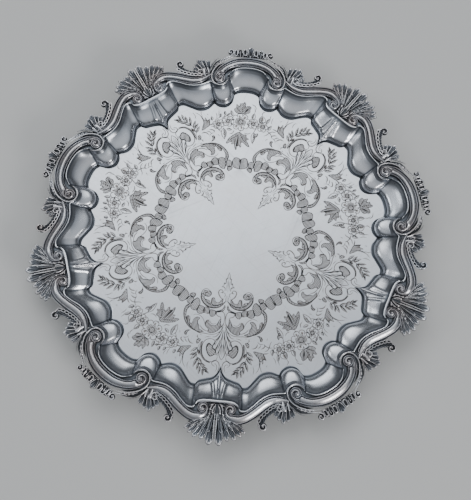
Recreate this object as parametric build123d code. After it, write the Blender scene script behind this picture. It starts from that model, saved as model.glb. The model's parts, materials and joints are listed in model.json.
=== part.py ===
"""A shaped-circular silver salver: a raised sheet tray with a lobed well, a cast scroll and shell border, five feet.

Millimetres, +Z up. The origin is on the salver's axis, at the level of the surface that it stands on.
The ornament repeats five times. Its outlines are drawn once in rim coordinates, (angle, offset): the angle
in degrees from a shell's axis, and the distance outside the circle of the shell volutes' centres.
"""
from build123d import *
import math
import os

# Overall layout
repeats = 5
rim_radius = 130.3          # circle through the centres of the shell volutes
sector = 360 / repeats
half_sector = sector / 2

# Heights
foot_height = 14.0          # standing surface to the underside of the well
sheet = 1.4                 # thickness of the tray's metal
well_depth = 9.2            # floor of the well to the top of the flange
wall_back = 2.0             # wall of the well, measured radially
lip_width = 1.3             # raised bead at the inner edge of the flange, measured radially
lip_height = 1.7

# Border castings, measured up from the flange
band_height = 1.9           # outer threads of a scroll
roll_height = 3.3           # rounded roll along the middle of a scroll
volute_height = 3.8         # top of a volute
eye_radius = 1.2
eye_rise = 0.5
leaf_height = 2.2           # shells, palmettes, tendrils and crests
clearance = 0.3             # between neighbouring castings
cutter_height = 6.0         # taller than any casting

# Volutes
shell_volute_angle = 4.27
shell_volute_radius = 4.0
c_volute_angle = 25.8
c_volute_offset = -4.0
c_volute_radius = 4.0

# Shells
shell_root_offset = -2.6
shell_root_radius = 1.4
shell_boss_radius = 2.4     # inside the bead of the flange
shell_ray_angles = (0, 12, 24.5, 37, 49, 60)
shell_ray_lengths = (26.6, 26.2, 25.0, 24.6, 24.2, 22.6)    # root to tip
shell_ray_tip_radius = 2.6

# Palmettes, one where each S-scroll meets a C-scroll
palmette_root = (20.4, 1.6)
palmette_root_radius = 1.6
palmette_tips = ((17.6, 6.2, 2.2), (19.5, 10.2, 2.9), (22.3, 8.8, 2.6))    # angle, offset, radius

# Tendrils on the S-scrolls
tendril_curl = (13.85, 13.4)
tendril_curl_radius = 2.2
tendril_bud = (19.3, 1.9)
tendril_bud_radius = 2.3

# Crests on the C-scrolls
crest_loops = 9
crest_pitch = 1.12          # degrees between loops
crest_loop_offset = 17.2
crest_loop_radius = 1.8
crest_centre_radius = 3.1
crest_base_offset = 11.0
crest_curl_angle = 5.7      # either side of the crest's middle
crest_curl_offset = 15.2
crest_curl_radius = 2.0
crest_stem_radii = (1.0, 1.5)    # of a curl's stem, at the curl and at the scroll

# Feet
foot_inset = 8.5            # root of the leg, inside the cusp of the well's floor
bracket_thickness = 1.3
bracket_length = 15.0       # between the centres of its two round ends
bracket_inner_radius = 9.0
bracket_outer_radius = 5.0
bracket_overhang = 2.5      # outer end's centre, outside the leg's root
leg_width = 6.5
leg_thickness = 3.4
leg_profile = ((3.0, 1.0), (6.4, 0.7), (3.6, 0.35), (8.6, 0.0))    # outside the leg's root; share of its height
knee_reach = 1.0
scroll_radius = 2.6         # rolls at the knee and the toe
toe_reach = 7.3
pad_radius = 4.2
pad_height = 1.5
pad_reach = 6.0

cusp_offset = -29.8         # point of the well's floor under each shell
foot_radius = rim_radius + cusp_offset - foot_inset
floor_top = foot_height + sheet
flange_top = floor_top + well_depth

# Outlines in rim coordinates, from a shell's axis to the middle of a C-scroll. A lobe ends at each corner.
floor_lobes = (
    ((0, cusp_offset), (0.9, -25.4), (2.3, -22.2), (5.2, -19.8), (7.6, -17.7), (8.6, -14.5)),
    ((8.6, -14.5), (10.4, -14.7), (13.2, -18.9), (16.0, -22.7), (19.6, -23.1), (23.0, -18.9)),
    ((23.0, -18.9), (24.6, -21.7), (27.6, -22.7), (30.2, -19.2), (31.3, -12.0)),
)
floor_panel = ((31.3, -12.0), (33.2, -10.4), (36.0, -9.9))
rim_lobes = (
    ((0, -6.7), (3.4, -6.5), (5.6, -5.5), (6.7, -3.6), (7.0, -1.2), (7.6, 0.2)),
    ((7.6, 0.2), (9.0, -0.2), (11.3, -3.4), (14.0, -7.4), (17.6, -9.6), (22.4, -7.4)),
    ((22.4, -7.4), (24.2, -10.0), (26.6, -10.2), (28.2, -7.4), (28.9, -2.4)),
)
rim_panel = ((28.9, -2.4), (31.4, 2.4), (36.0, 4.0))
flange_edge = (
    (0, 7.0), (3.4, 8.0), (6.3, 9.4), (8.6, 9.0), (10.9, 6.9), (13.3, 3.3), (15.4, 0.8), (17.7, -0.6),
    (19.8, 1.8), (21.6, 3.6), (23.4, 3.8), (24.9, 6.4), (27.6, 9.2), (29.8, 10.2), (32.0, 11.0), (36.0, 11.8),
)

# The two edges of each cast band, station by station
s_outer = ((22.0, 0.6), (19.8, -0.2), (17.7, -0.3), (15.4, 1.6), (13.3, 4.3), (10.9, 7.8), (8.6, 9.9),
           (6.3, 10.4), (4.5, 8.5), (3.2, 4.9), (2.6, 0.3))
s_inner = ((22.3, -4.3), (20.8, -5.9), (18.9, -6.8), (16.5, -7.2), (13.9, -5.1), (11.2, -1.3), (8.7, 1.8),
           (7.1, 2.6), (5.8, 2.3), (5.0, 1.2), (4.3, 0.0))
c_outer = ((23.0, -4.3), (22.7, -0.2), (23.5, 3.9), (25.0, 7.2), (27.5, 9.8), (29.8, 10.9), (32.2, 11.9),
           (36.0, 12.6))
c_inner = ((25.8, -4.0), (25.4, -2.8), (25.9, -1.5), (26.9, 0.2), (28.7, 2.5), (31.0, 5.0), (33.4, 6.1),
           (36.0, 6.4))
tendril_outer = ((18.4, 2.9), (16.5, 4.9), (15.2, 8.0), (14.3, 10.8), (14.1, 12.2), (13.85, 13.4))
tendril_inner = ((17.8, -1.4), (15.3, 0.8), (13.2, 3.4), (12.3, 8.6), (12.4, 12.4), (13.2, 15.0))
roll_from, roll_to = 0.28, 0.88    # share of a band's width that the roll covers


def at(angle, offset):
    """A point in rim coordinates, as x and y with the shell's axis along +Y."""
    radius = rim_radius + offset
    return (radius * math.sin(math.radians(angle)), radius * math.cos(math.radians(angle)))


def mirrored(points):
    """The same stations on the other side of the shell's axis, in reverse order."""
    return tuple((-angle, offset) for angle, offset in reversed(points))


def beyond_middle(points):
    """The same stations on the other side of the C-scroll's middle, in reverse order."""
    return tuple((sector - angle, offset) for angle, offset in reversed(points))


def grown(points, amount):
    return tuple((angle, offset + amount) for angle, offset in points)


def spline(points, height=0.0, turn=0.0):
    return Spline(*[(*at(angle + turn, offset), height) for angle, offset in points])


def scalloped_wire(lobes, panel, outward, height):
    """The closed outline of the well at one height: seven stretches a sector, meeting at corners."""
    edges = []
    for k in range(repeats):
        turn = k * sector
        stretches = list(lobes) + [panel + beyond_middle(panel)[1:]]
        stretches += [beyond_middle(lobe) for lobe in reversed(lobes)]
        edges += [spline(grown(stretch, outward), height, turn) for stretch in stretches]
    return Wire(edges)


def well_block(outward, bottom, top):
    """The well's space, or the outside of its wall, as a ruled solid between two outlines."""
    low = scalloped_wire(floor_lobes, floor_panel, outward, bottom)
    high = scalloped_wire(rim_lobes, rim_panel, outward, top)
    return Solid.make_loft([low, high], ruled=True)


def flange_face(height):
    half = flange_edge + beyond_middle(flange_edge)[1:]
    edges = [spline(half, height, k * sector) for k in range(repeats)]
    return make_face(Wire(edges))


def plate():
    """The tray: floor, wall and flange in one sheet, with a bead round the inner edge of the flange."""
    wall = well_block(wall_back, floor_top - sheet, flange_top)
    flange = extrude(flange_face(flange_top - sheet), amount=sheet, dir=(0, 0, 1))
    lip = extrude(
        make_face(scalloped_wire(rim_lobes, rim_panel, lip_width, flange_top)), amount=lip_height, dir=(0, 0, 1)
    )
    lip -= extrude(
        make_face(scalloped_wire(rim_lobes, rim_panel, 0, flange_top)), amount=lip_height, dir=(0, 0, 1)
    )
    return wall + flange - well_block(0, floor_top, flange_top) + lip


def band(outer, inner, low, high, start, end, grow=0.0):
    """Part of a cast band, from a share `start` to a share `end` of its width, between two heights."""
    near, far = [], []
    for (angle_o, offset_o), (angle_i, offset_i) in zip(outer, inner):
        for share, side in ((start, near), (end, far)):
            side.append((angle_o + (angle_i - angle_o) * share, offset_o + (offset_i - offset_o) * share))
    near, far = grown(near, grow), grown(far, -grow)
    edges = [
        spline(near, low),
        Line((*at(*near[-1]), low), (*at(*far[-1]), low)),
        spline(far[::-1], low),
        Line((*at(*far[0]), low), (*at(*near[0]), low)),
    ]
    return extrude(make_face(Wire(edges)), amount=high - low, dir=(0, 0, 1))


def disc(centre, radius, low, high):
    return Pos(*at(*centre), low) * Cylinder(radius, high - low, align=(Align.CENTER, Align.CENTER, Align.MIN))


def ray(root, root_radius, tip, tip_radius, low, high):
    """A petal that widens from its root to a round tip. Root and tip are x and y."""
    length = math.dist(root, tip)
    lean = math.degrees(math.atan2(tip[1] - root[1], tip[0] - root[0]))
    half_wedge = math.asin((tip_radius - root_radius) / length)
    sides = []
    for side in (-1, 1):
        turn = side * (math.pi / 2 + half_wedge)
        sides.append([
            (radius * math.cos(turn) + shift, radius * math.sin(turn))
            for shift, radius in ((0, root_radius), (length, tip_radius))
        ])
    (low_root, low_tip), (high_root, high_tip) = sides
    outline = Wire([
        Line(low_root, low_tip),
        ThreePointArc(low_tip, (length + tip_radius, 0), high_tip),
        Line(high_tip, high_root),
        ThreePointArc(high_root, (-root_radius, 0), low_root),
    ])
    petal = extrude(make_face(outline), amount=high - low, dir=(0, 0, 1))
    return Pos(*root, low) * Rot(0, 0, lean) * petal


def s_scroll():
    """An S-scroll with its volute, its tendril and the tendril's bud."""
    base = flange_top
    volute = (shell_volute_angle, 0)
    casting = band(s_outer, s_inner, base, base + band_height, 0, 1)
    casting += band(s_outer, s_inner, base, base + roll_height, roll_from, roll_to)
    casting += band(tendril_outer, tendril_inner, base, base + leaf_height, 0, 1)
    casting += disc(tendril_curl, tendril_curl_radius, base, base + leaf_height)
    casting += disc(tendril_bud, tendril_bud_radius, base, base + leaf_height)
    casting += disc(volute, shell_volute_radius, base, base + volute_height)
    return casting + disc(volute, eye_radius, base, base + volute_height + eye_rise)


def s_scroll_room():
    """The space that neighbours leave for an S-scroll, never less than the scroll itself."""
    base, top = flange_top, flange_top + cutter_height
    room = s_scroll() + band(s_outer, s_inner, base, top, 0, 1, clearance)
    room += band(tendril_outer, tendril_inner, base, top, 0, 1, clearance)
    room += disc(tendril_curl, tendril_curl_radius + clearance, base, top)
    room += disc(tendril_bud, tendril_bud_radius + clearance, base, top)
    return room + disc((shell_volute_angle, 0), shell_volute_radius + clearance, base, top)


def c_scroll():
    """A C-scroll with a volute at each end and a frilled crest along its outer edge."""
    base = flange_top
    outer, inner = (edge + beyond_middle(edge)[1:] for edge in (c_outer, c_inner))
    casting = band(outer, inner, base, base + band_height, 0, 1)
    casting += band(outer, inner, base, base + roll_height, roll_from, roll_to)
    for angle in (c_volute_angle, sector - c_volute_angle):
        end = (angle, c_volute_offset)
        casting += disc(end, c_volute_radius, base, base + volute_height)
        casting += disc(end, eye_radius, base, base + volute_height + eye_rise)
    return casting + crest()


def c_scroll_room():
    """The space that neighbours leave for a C-scroll."""
    base, top = flange_top, flange_top + cutter_height
    outer, inner = (edge + beyond_middle(edge)[1:] for edge in (c_outer, c_inner))
    room = band(outer, inner, base, top, 0, 1, clearance)
    for angle in (c_volute_angle, sector - c_volute_angle):
        room += disc((angle, c_volute_offset), c_volute_radius + clearance, base, top)
    return room


def crest():
    base, top = flange_top, flange_top + leaf_height
    reach = (crest_loops - 1) / 2 * crest_pitch + crest_pitch / 2
    strip = [(half_sector - reach, 0), (half_sector, 0), (half_sector + reach, 0)]
    frill = band(grown(strip, crest_loop_offset), grown(strip, crest_base_offset), base, top, 0, 1)
    for k in range(crest_loops):
        step = k - (crest_loops - 1) / 2
        radius = crest_loop_radius if step else crest_centre_radius
        frill += disc((half_sector + step * crest_pitch, crest_loop_offset), radius, base, top)
    for side in (-1, 1):
        curl = (half_sector + side * crest_curl_angle, crest_curl_offset)
        frill += disc(curl, crest_curl_radius, base, top)
        seat = (half_sector + side * reach, crest_base_offset)
        frill += ray(at(*curl), crest_stem_radii[0], at(*seat), crest_stem_radii[1], base, top)
    return frill


def shell():
    """A shell between two S-scroll volutes: a fan of petals from a root on the flange."""
    base, top = flange_top, flange_top + leaf_height
    root = at(0, shell_root_offset)
    fan = disc((0, shell_root_offset), shell_boss_radius, base, top + eye_rise)
    for lean, length in zip(shell_ray_angles, shell_ray_lengths):
        for side in {0} if lean == 0 else {-1, 1}:
            reach = length - shell_ray_tip_radius
            tip = (
                root[0] + side * reach * math.sin(math.radians(lean)),
                root[1] + reach * math.cos(math.radians(lean)),
            )
            fan += ray(root, shell_root_radius, tip, shell_ray_tip_radius, base, top)
    room = s_scroll_room()
    return fan - room - mirror(room, about=Plane.YZ)


def palmette():
    base, top = flange_top, flange_top + leaf_height
    leaf = disc(palmette_root, palmette_root_radius, base, top + eye_rise)
    for angle, offset, radius in palmette_tips:
        leaf += ray(at(*palmette_root), palmette_root_radius, at(angle, offset), radius, base, top)
    return leaf - s_scroll_room() - c_scroll_room()


def foot():
    """A scroll foot under a shell: a bracket on the well's underside, an S-shaped leg and a round pad."""
    under = foot_height - bracket_thickness
    outer_end = foot_radius + bracket_overhang
    bracket = ray((0, outer_end), bracket_outer_radius, (0, outer_end - bracket_length), bracket_inner_radius,
                  under, foot_height)
    front = [(foot_radius + reach, pad_height + share * (under - pad_height)) for reach, share in leg_profile]
    back = [(y - leg_thickness, z) for y, z in front]
    outline = Wire([
        Spline(*[(0, y, z) for y, z in front]),
        Line((0, *front[-1]), (0, *back[-1])),
        Spline(*[(0, y, z) for y, z in reversed(back)]),
        Line((0, *back[0]), (0, *front[0])),
    ])
    leg = extrude(make_face(outline), amount=leg_width / 2, dir=(1, 0, 0), both=True)
    for reach, height in ((knee_reach, under - scroll_radius), (toe_reach, pad_height + scroll_radius)):
        leg += Pos(0, foot_radius + reach, height) * Rot(0, 90, 0) * Cylinder(scroll_radius, leg_width)
    pad = Cylinder(pad_radius, pad_height, align=(Align.CENTER, Align.CENTER, Align.MIN))
    return bracket + leg + Pos(0, foot_radius + pad_reach, 0) * pad


def placed(shape, k):
    """A copy in the k-th sector. The first shell lies along -Y."""
    return Rot(0, 0, 180 + k * sector) * shape


def main():
    os.makedirs("parts", exist_ok=True)
    export_step(placed(plate(), 0), "parts/tray_plate.step")
    left, leaf = s_scroll(), palmette()
    pieces = {
        "shell": shell(),
        "s_scroll_left": left,
        "s_scroll_right": mirror(left, about=Plane.YZ),
        "palmette_left": leaf,
        "palmette_right": mirror(leaf, about=Plane.YZ),
        "c_scroll": c_scroll(),
        "foot": foot(),
    }
    for name, shape in pieces.items():
        for k in range(repeats):
            export_step(placed(shape, k), f"parts/{name}_{k + 1}.step")


main()
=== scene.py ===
import json
import math

import bmesh
import bpy
import numpy as np
from mathutils import Matrix, Vector
from mathutils.geometry import delaunay_2d_cdt
from mathutils.kdtree import KDTree


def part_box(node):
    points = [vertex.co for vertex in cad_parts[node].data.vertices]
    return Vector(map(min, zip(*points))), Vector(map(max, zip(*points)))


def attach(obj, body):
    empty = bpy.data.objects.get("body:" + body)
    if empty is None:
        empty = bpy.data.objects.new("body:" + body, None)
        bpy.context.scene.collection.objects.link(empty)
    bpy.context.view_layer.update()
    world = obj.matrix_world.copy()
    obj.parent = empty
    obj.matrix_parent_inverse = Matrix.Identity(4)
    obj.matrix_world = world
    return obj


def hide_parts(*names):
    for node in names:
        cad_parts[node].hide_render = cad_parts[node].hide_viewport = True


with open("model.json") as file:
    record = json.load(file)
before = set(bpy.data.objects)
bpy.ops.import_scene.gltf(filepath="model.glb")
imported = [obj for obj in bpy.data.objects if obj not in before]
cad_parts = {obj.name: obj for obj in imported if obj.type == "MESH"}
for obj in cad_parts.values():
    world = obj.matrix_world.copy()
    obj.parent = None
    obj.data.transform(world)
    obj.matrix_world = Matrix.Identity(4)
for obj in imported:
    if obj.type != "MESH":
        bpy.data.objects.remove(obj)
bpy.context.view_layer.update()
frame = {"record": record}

mm = 0.001
print("frame loaded")

# Everything is drawn in millimetres in one sector, with the shell's axis along +Y, then turned into place.
mounts = {mount["name"]: mount for mount in frame["record"]["mounts"]}
salver = {
    "repeats": 5,
    "rimRadius": 130.3,    # circle through the shell volutes
    "floorTop": mounts["well_floor"]["pos_m"][2] / mm,
    "flangeTop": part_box("shell_1")[0].z / mm,
    "castTop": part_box("c_scroll_1")[1].z / mm,
    "sheet": 1.4,
}
sector = 360 / salver["repeats"]
flangeTop = salver["flangeTop"]
floorTop = salver["floorTop"]
mirror = np.array([-1, 1])


def rimPoint(angle, offset):
    radius = salver["rimRadius"] + offset
    return (radius * math.sin(math.radians(angle)), radius * math.cos(math.radians(angle)))


def through(points, count, closed=False):
    # a smooth line through the points, resampled into evenly spaced rows
    p = np.asarray(points, float)
    ring = np.vstack([p[-1:], p, p[:2]]) if closed else np.vstack([2 * p[0] - p[1], p, 2 * p[-1] - p[-2]])
    t = np.linspace(0, 1, 13)[:-1, None]
    fine = []
    for a, b, c, d in zip(ring, ring[1:], ring[2:], ring[3:]):
        gaps = [max(np.linalg.norm(q - r), 1e-6) ** 0.5 for q, r in ((a, b), (b, c), (c, d))]
        first = gaps[1] * ((b - a) / gaps[0] - (c - a) / (gaps[0] + gaps[1]) + (c - b) / gaps[1])
        last = gaps[1] * ((c - b) / gaps[1] - (d - b) / (gaps[1] + gaps[2]) + (d - c) / gaps[2])
        fine.append((2 * t**3 - 3 * t**2 + 1) * b + (t**3 - 2 * t**2 + t) * first
                    + (3 * t**2 - 2 * t**3) * c + (t**3 - t**2) * last)
    fine = np.vstack(fine + [ring[-2:-1]])
    along = np.concatenate([[0], np.cumsum(np.linalg.norm(np.diff(fine, axis=0), axis=1))])
    steps = np.linspace(0, along[-1], count)
    return np.stack([np.interp(steps, along, fine[:, k]) for k in range(p.shape[1])], 1)


def ramp(count, places, values):
    # values that change evenly between places along a line of so many points
    return np.interp(np.linspace(0, 1, count), places, values)


def sidesOf(line):
    # unit normals of a flat line, to the left of its run
    run = np.gradient(line[:, :2], axis=0)
    run /= np.maximum(np.linalg.norm(run, axis=1, keepdims=True), 1e-9)
    return np.stack([-run[:, 1], run[:, 0]], 1)


def spiral(centre, radius, tighten, start, turn, spread):
    # points of a volute's line: start is the first direction, turn is 1 for counterclockwise
    spread = np.asarray(spread, float)
    r = np.maximum(radius - tighten * spread**1.5, 0)
    lean = math.radians(start) + turn * spread
    return np.stack([centre[0] + r * np.cos(lean), centre[1] + r * np.sin(lean)], 1)


def turnAbout(points, degrees):
    # points turned about the salver's axis, with their heights kept
    c, s = math.cos(math.radians(degrees)), math.sin(math.radians(degrees))
    turn = np.eye(points.shape[1])
    turn[:2, :2] = (c, s), (-s, c)
    return points @ turn


def place(name, data):
    thing = bpy.data.objects.new(name, data)
    bpy.context.scene.collection.objects.link(thing)
    return thing


def meshWithTarnishAndShade(name, corners, faces, tone):
    mesh = bpy.data.meshes.new(name)
    mesh.from_pydata(corners.tolist(), [], faces)
    # the attribute holds tarnish together with painted shade in hollows, creases and undersides
    mesh.attributes.new("tarnish", "FLOAT", "POINT").data.foreach_set("value", tone.astype(np.float32))
    return mesh


class Casting:
    # gathers the corners, faces, and tarnish with painted shade of one piece
    def __init__(self):
        self.corners, self.faces, self.dark, self.count = [], [], [], 0

    def add(self, corners, faces, dark):
        corners = np.asarray(corners, float).reshape(-1, 3)
        self.corners.append(corners)
        self.faces += [tuple(int(i) + self.count for i in face) for face in faces]
        self.dark.append(np.broadcast_to(np.asarray(dark, float).ravel(), (len(corners),)))
        self.count += len(corners)

    def tube(self, rows, dark):
        # rows of one closed section each, with the two ends capped
        rows = np.asarray(rows, float)
        n, m = rows.shape[:2]
        i, j = np.meshgrid(np.arange(n - 1), np.arange(m), indexing="ij")
        a, b = i * m + j, i * m + (j + 1) % m
        faces = np.stack([a, b, b + m, a + m], -1).reshape(-1, 4).tolist()
        faces.append(list(range(m))[::-1])
        faces.append([(n - 1) * m + k for k in range(m)])
        self.add(rows.reshape(-1, 3), faces, np.broadcast_to(dark, (n, m)))

    def changed(self, move, flip=False):
        other = Casting()
        other.corners = [move(corners) for corners in self.corners]
        other.faces = [face[::-1] for face in self.faces] if flip else list(self.faces)
        other.dark, other.count = list(self.dark), self.count
        return other

    def mirrored(self):
        return self.changed(lambda corners: corners * [-1, 1, 1], flip=True)

    def turned(self, degrees):
        return self.changed(lambda corners: turnAbout(corners, degrees))

    def join(self, other):
        self.corners += other.corners
        self.dark += other.dark
        self.faces += [tuple(i + self.count for i in face) for face in other.faces]
        self.count += other.count


def makeObject(name, casting, material, sharp=55):
    mesh = meshWithTarnishAndShade(name, np.vstack(casting.corners) * mm, casting.faces, np.concatenate(casting.dark))
    work = bmesh.new()
    work.from_mesh(mesh)
    bmesh.ops.remove_doubles(work, verts=work.verts, dist=2e-6)
    bmesh.ops.dissolve_degenerate(work, edges=work.edges, dist=1e-7)
    bmesh.ops.recalc_face_normals(work, faces=work.faces)
    work.to_mesh(mesh)
    work.free()
    mesh.polygons.foreach_set("use_smooth", [True] * len(mesh.polygons))
    mesh.set_sharp_from_angle(angle=math.radians(sharp))
    mesh.materials.append(material)
    return place(name, mesh)


def placeRound(name, casting, material, node):
    # one copy in each sector, the first with its axis along -Y
    for k in range(salver["repeats"]):
        piece = makeObject(f"{name}_{k + 1}", casting.turned(180 + k * sector), material)
        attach(piece, "root")
        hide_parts(f"{node}_{k + 1}")


class Wire:
    # a node's output that can be added, multiplied and so on
    def __init__(self, tree, socket):
        self.tree, self.socket = tree, socket

    def maths(self, operation, *values):
        return addNode(self.tree, "ShaderNodeMath", {"operation": operation}, dict(enumerate(values)))

    def __add__(self, other):
        return self.maths("ADD", self, other)

    def __mul__(self, other):
        return self.maths("MULTIPLY", self, other)

    def __sub__(self, other):
        return self.maths("SUBTRACT", self, other)

    def __rsub__(self, other):
        return self.maths("SUBTRACT", other, self)

    def __pow__(self, other):
        return self.maths("POWER", self, other)

    def clamped(self):
        result = self.maths("ADD", self, 0.0)
        result.socket.node.use_clamp = True
        return result

    __radd__ = __add__
    __rmul__ = __mul__


def addNode(tree, kind, settings=None, links=None, output=0):
    # one node: its settings first, then the values or wires of its inputs
    node = tree.nodes.new(kind)
    for key, value in (settings or {}).items():
        if key == "stops":
            for k, (position, colour) in enumerate(value):
                stops = node.color_ramp.elements
                stop = stops[k] if k < len(stops) else stops.new(position)
                stop.position, stop.color = position, (*colour, 1)
        else:
            setattr(node, key, value)
    for key, value in (links or {}).items():
        if isinstance(value, Wire):
            tree.links.new(value.socket, node.inputs[key])
        else:
            node.inputs[key].default_value = value
    return Wire(tree, node.outputs[output]) if node.outputs else None


def growTree(name, inputs):
    # a tree with named inputs, each with its default, and the wires that come from them
    tree = bpy.data.node_groups.new(name, "GeometryNodeTree")
    tree.interface.new_socket("Geometry", in_out="INPUT", socket_type="NodeSocketGeometry")
    for label, (kind, value) in inputs.items():
        socket = tree.interface.new_socket(label, in_out="INPUT", socket_type=f"NodeSocket{kind}")
        if value is not None:
            socket.default_value = value
    tree.interface.new_socket("Geometry", in_out="OUTPUT", socket_type="NodeSocketGeometry")
    sockets = addNode(tree, "NodeGroupInput").socket.node.outputs
    return tree, {socket.name: Wire(tree, socket) for socket in sockets}


def endTree(tree, geometry, silver):
    done = addNode(tree, "GeometryNodeSetMaterial", {}, {"Geometry": geometry, "Material": silver})
    addNode(tree, "NodeGroupOutput", {}, {"Geometry": done})
    return tree


def grown(tree, carrier, values):
    # runs a tree on an object, which goes, and hands back the plain mesh
    modifier = carrier.modifiers.new("grow", "NODES")
    modifier.node_group = tree
    for item in tree.interface.items_tree:
        if item.in_out == "INPUT" and item.name in values:
            modifier[item.identifier] = values[item.name]
    view = bpy.context.evaluated_depsgraph_get()
    mesh = bpy.data.meshes.new_from_object(carrier.evaluated_get(view))
    bpy.data.objects.remove(carrier)
    return mesh


def linkTree():
    # oval wire links set along a line, each turned to lie along it
    tree, source = growTree("chainLinks", {"Links": ("Int", 8), "Long": ("Float", 1.4),
                                           "Wide": ("Float", 1.0), "Wire": ("Float", 0.3),
                                           "Silver": ("Material", None)})
    curve = addNode(tree, "GeometryNodeMeshToCurve", {}, {"Mesh": source["Geometry"]})
    spots = addNode(tree, "GeometryNodeCurveToPoints", {"mode": "COUNT"},
                    {"Curve": curve, "Count": source["Links"]})
    tangent = Wire(tree, spots.socket.node.outputs["Tangent"])
    lean = addNode(tree, "FunctionNodeAlignRotationToVector", {"axis": "X"}, {"Vector": tangent})
    oval = addNode(tree, "GeometryNodeCurvePrimitiveCircle", {}, {"Resolution": 14, "Radius": 1.0})
    size = addNode(tree, "ShaderNodeCombineXYZ", {}, {"X": source["Long"], "Y": source["Wide"], "Z": 1.0})
    shaped = addNode(tree, "GeometryNodeTransform", {}, {"Geometry": oval, "Scale": size})
    wire = addNode(tree, "GeometryNodeCurvePrimitiveCircle", {}, {"Resolution": 6, "Radius": source["Wire"]})
    link = addNode(tree, "GeometryNodeCurveToMesh", {}, {"Curve": shaped, "Profile Curve": wire})
    row = addNode(tree, "GeometryNodeInstanceOnPoints", {},
                  {"Points": spots, "Instance": link, "Rotation": lean})
    real = addNode(tree, "GeometryNodeRealizeInstances", {}, {"Geometry": row})
    return endTree(tree, real, source["Silver"])


def ringTree():
    # copies of one sector, turned about the salver's axis and welded at their edges
    tree, source = growTree("ringOfSectors", {"Count": ("Int", 5), "Start": ("Float", math.pi),
                                              "Weld": ("Float", 0.004), "Silver": ("Material", None)})
    spots = addNode(tree, "GeometryNodePoints", {}, {"Count": source["Count"]})
    number = addNode(tree, "GeometryNodeInputIndex")
    step = addNode(tree, "ShaderNodeMath", {"operation": "DIVIDE"}, {0: 2 * math.pi, 1: source["Count"]})
    turn = addNode(tree, "ShaderNodeMath", {"operation": "MULTIPLY_ADD"},
                   {0: number, 1: step, 2: source["Start"]})
    spin = addNode(tree, "ShaderNodeCombineXYZ", {}, {"Z": turn})
    ring = addNode(tree, "GeometryNodeInstanceOnPoints", {},
                   {"Points": spots, "Instance": source["Geometry"], "Rotation": spin})
    real = addNode(tree, "GeometryNodeRealizeInstances", {}, {"Geometry": ring})
    weld = addNode(tree, "GeometryNodeMergeByDistance", {}, {"Geometry": real, "Distance": source["Weld"]})
    return endTree(tree, weld, source["Silver"])


def blendColour(tree, share, first, second):
    ends = [value if isinstance(value, Wire) else (*value, 1) for value in (first, second)]
    return addNode(tree, "ShaderNodeMix", {"data_type": "RGBA"}, {0: share, 6: ends[0], 7: ends[1]}, output=2)


def spread(tree, value, low, high, kind="LINEAR"):
    # 0 below low, 1 above high
    return addNode(tree, "ShaderNodeMapRange", {"interpolation_type": kind},
                   {0: value, 1: low, 2: high, 3: 0.0, 4: 1.0})


def noise(tree, here, scale, detail, rough):
    return addNode(tree, "ShaderNodeTexNoise", {},
                   {"Vector": here, "Scale": scale, "Detail": detail, "Roughness": rough})


silverLook = {
    "bright": (0.765, 0.80, 0.85),
    "warm": (0.56, 0.47, 0.43),       # thin tarnish
    "steel": (0.20, 0.22, 0.25),      # thicker tarnish and worn streaks, and painted shade in recesses
    "brown": (0.34, 0.30, 0.275),     # thicker tarnish with painted shade on the plate
    "black": (0.022, 0.024, 0.028),   # oxide packed into recesses, and the deepest painted shade
    "streaks": [(0.7, 700.0), (-0.5, 900.0), (1.9, 800.0)],    # lean and closeness of the wear lines
}


def streaks(tree, here, turn, close):
    # long fine wear lines lying one way
    turned = addNode(tree, "ShaderNodeVectorRotate", {"rotation_type": "Z_AXIS"},
                     {"Vector": here, "Angle": turn})
    laid = addNode(tree, "ShaderNodeVectorMath", {"operation": "MULTIPLY"},
                   {0: turned, 1: (16.0, close, 16.0)})
    return spread(tree, noise(tree, laid, 1.0, 3.0, 0.5), 0.6, 0.72)


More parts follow.
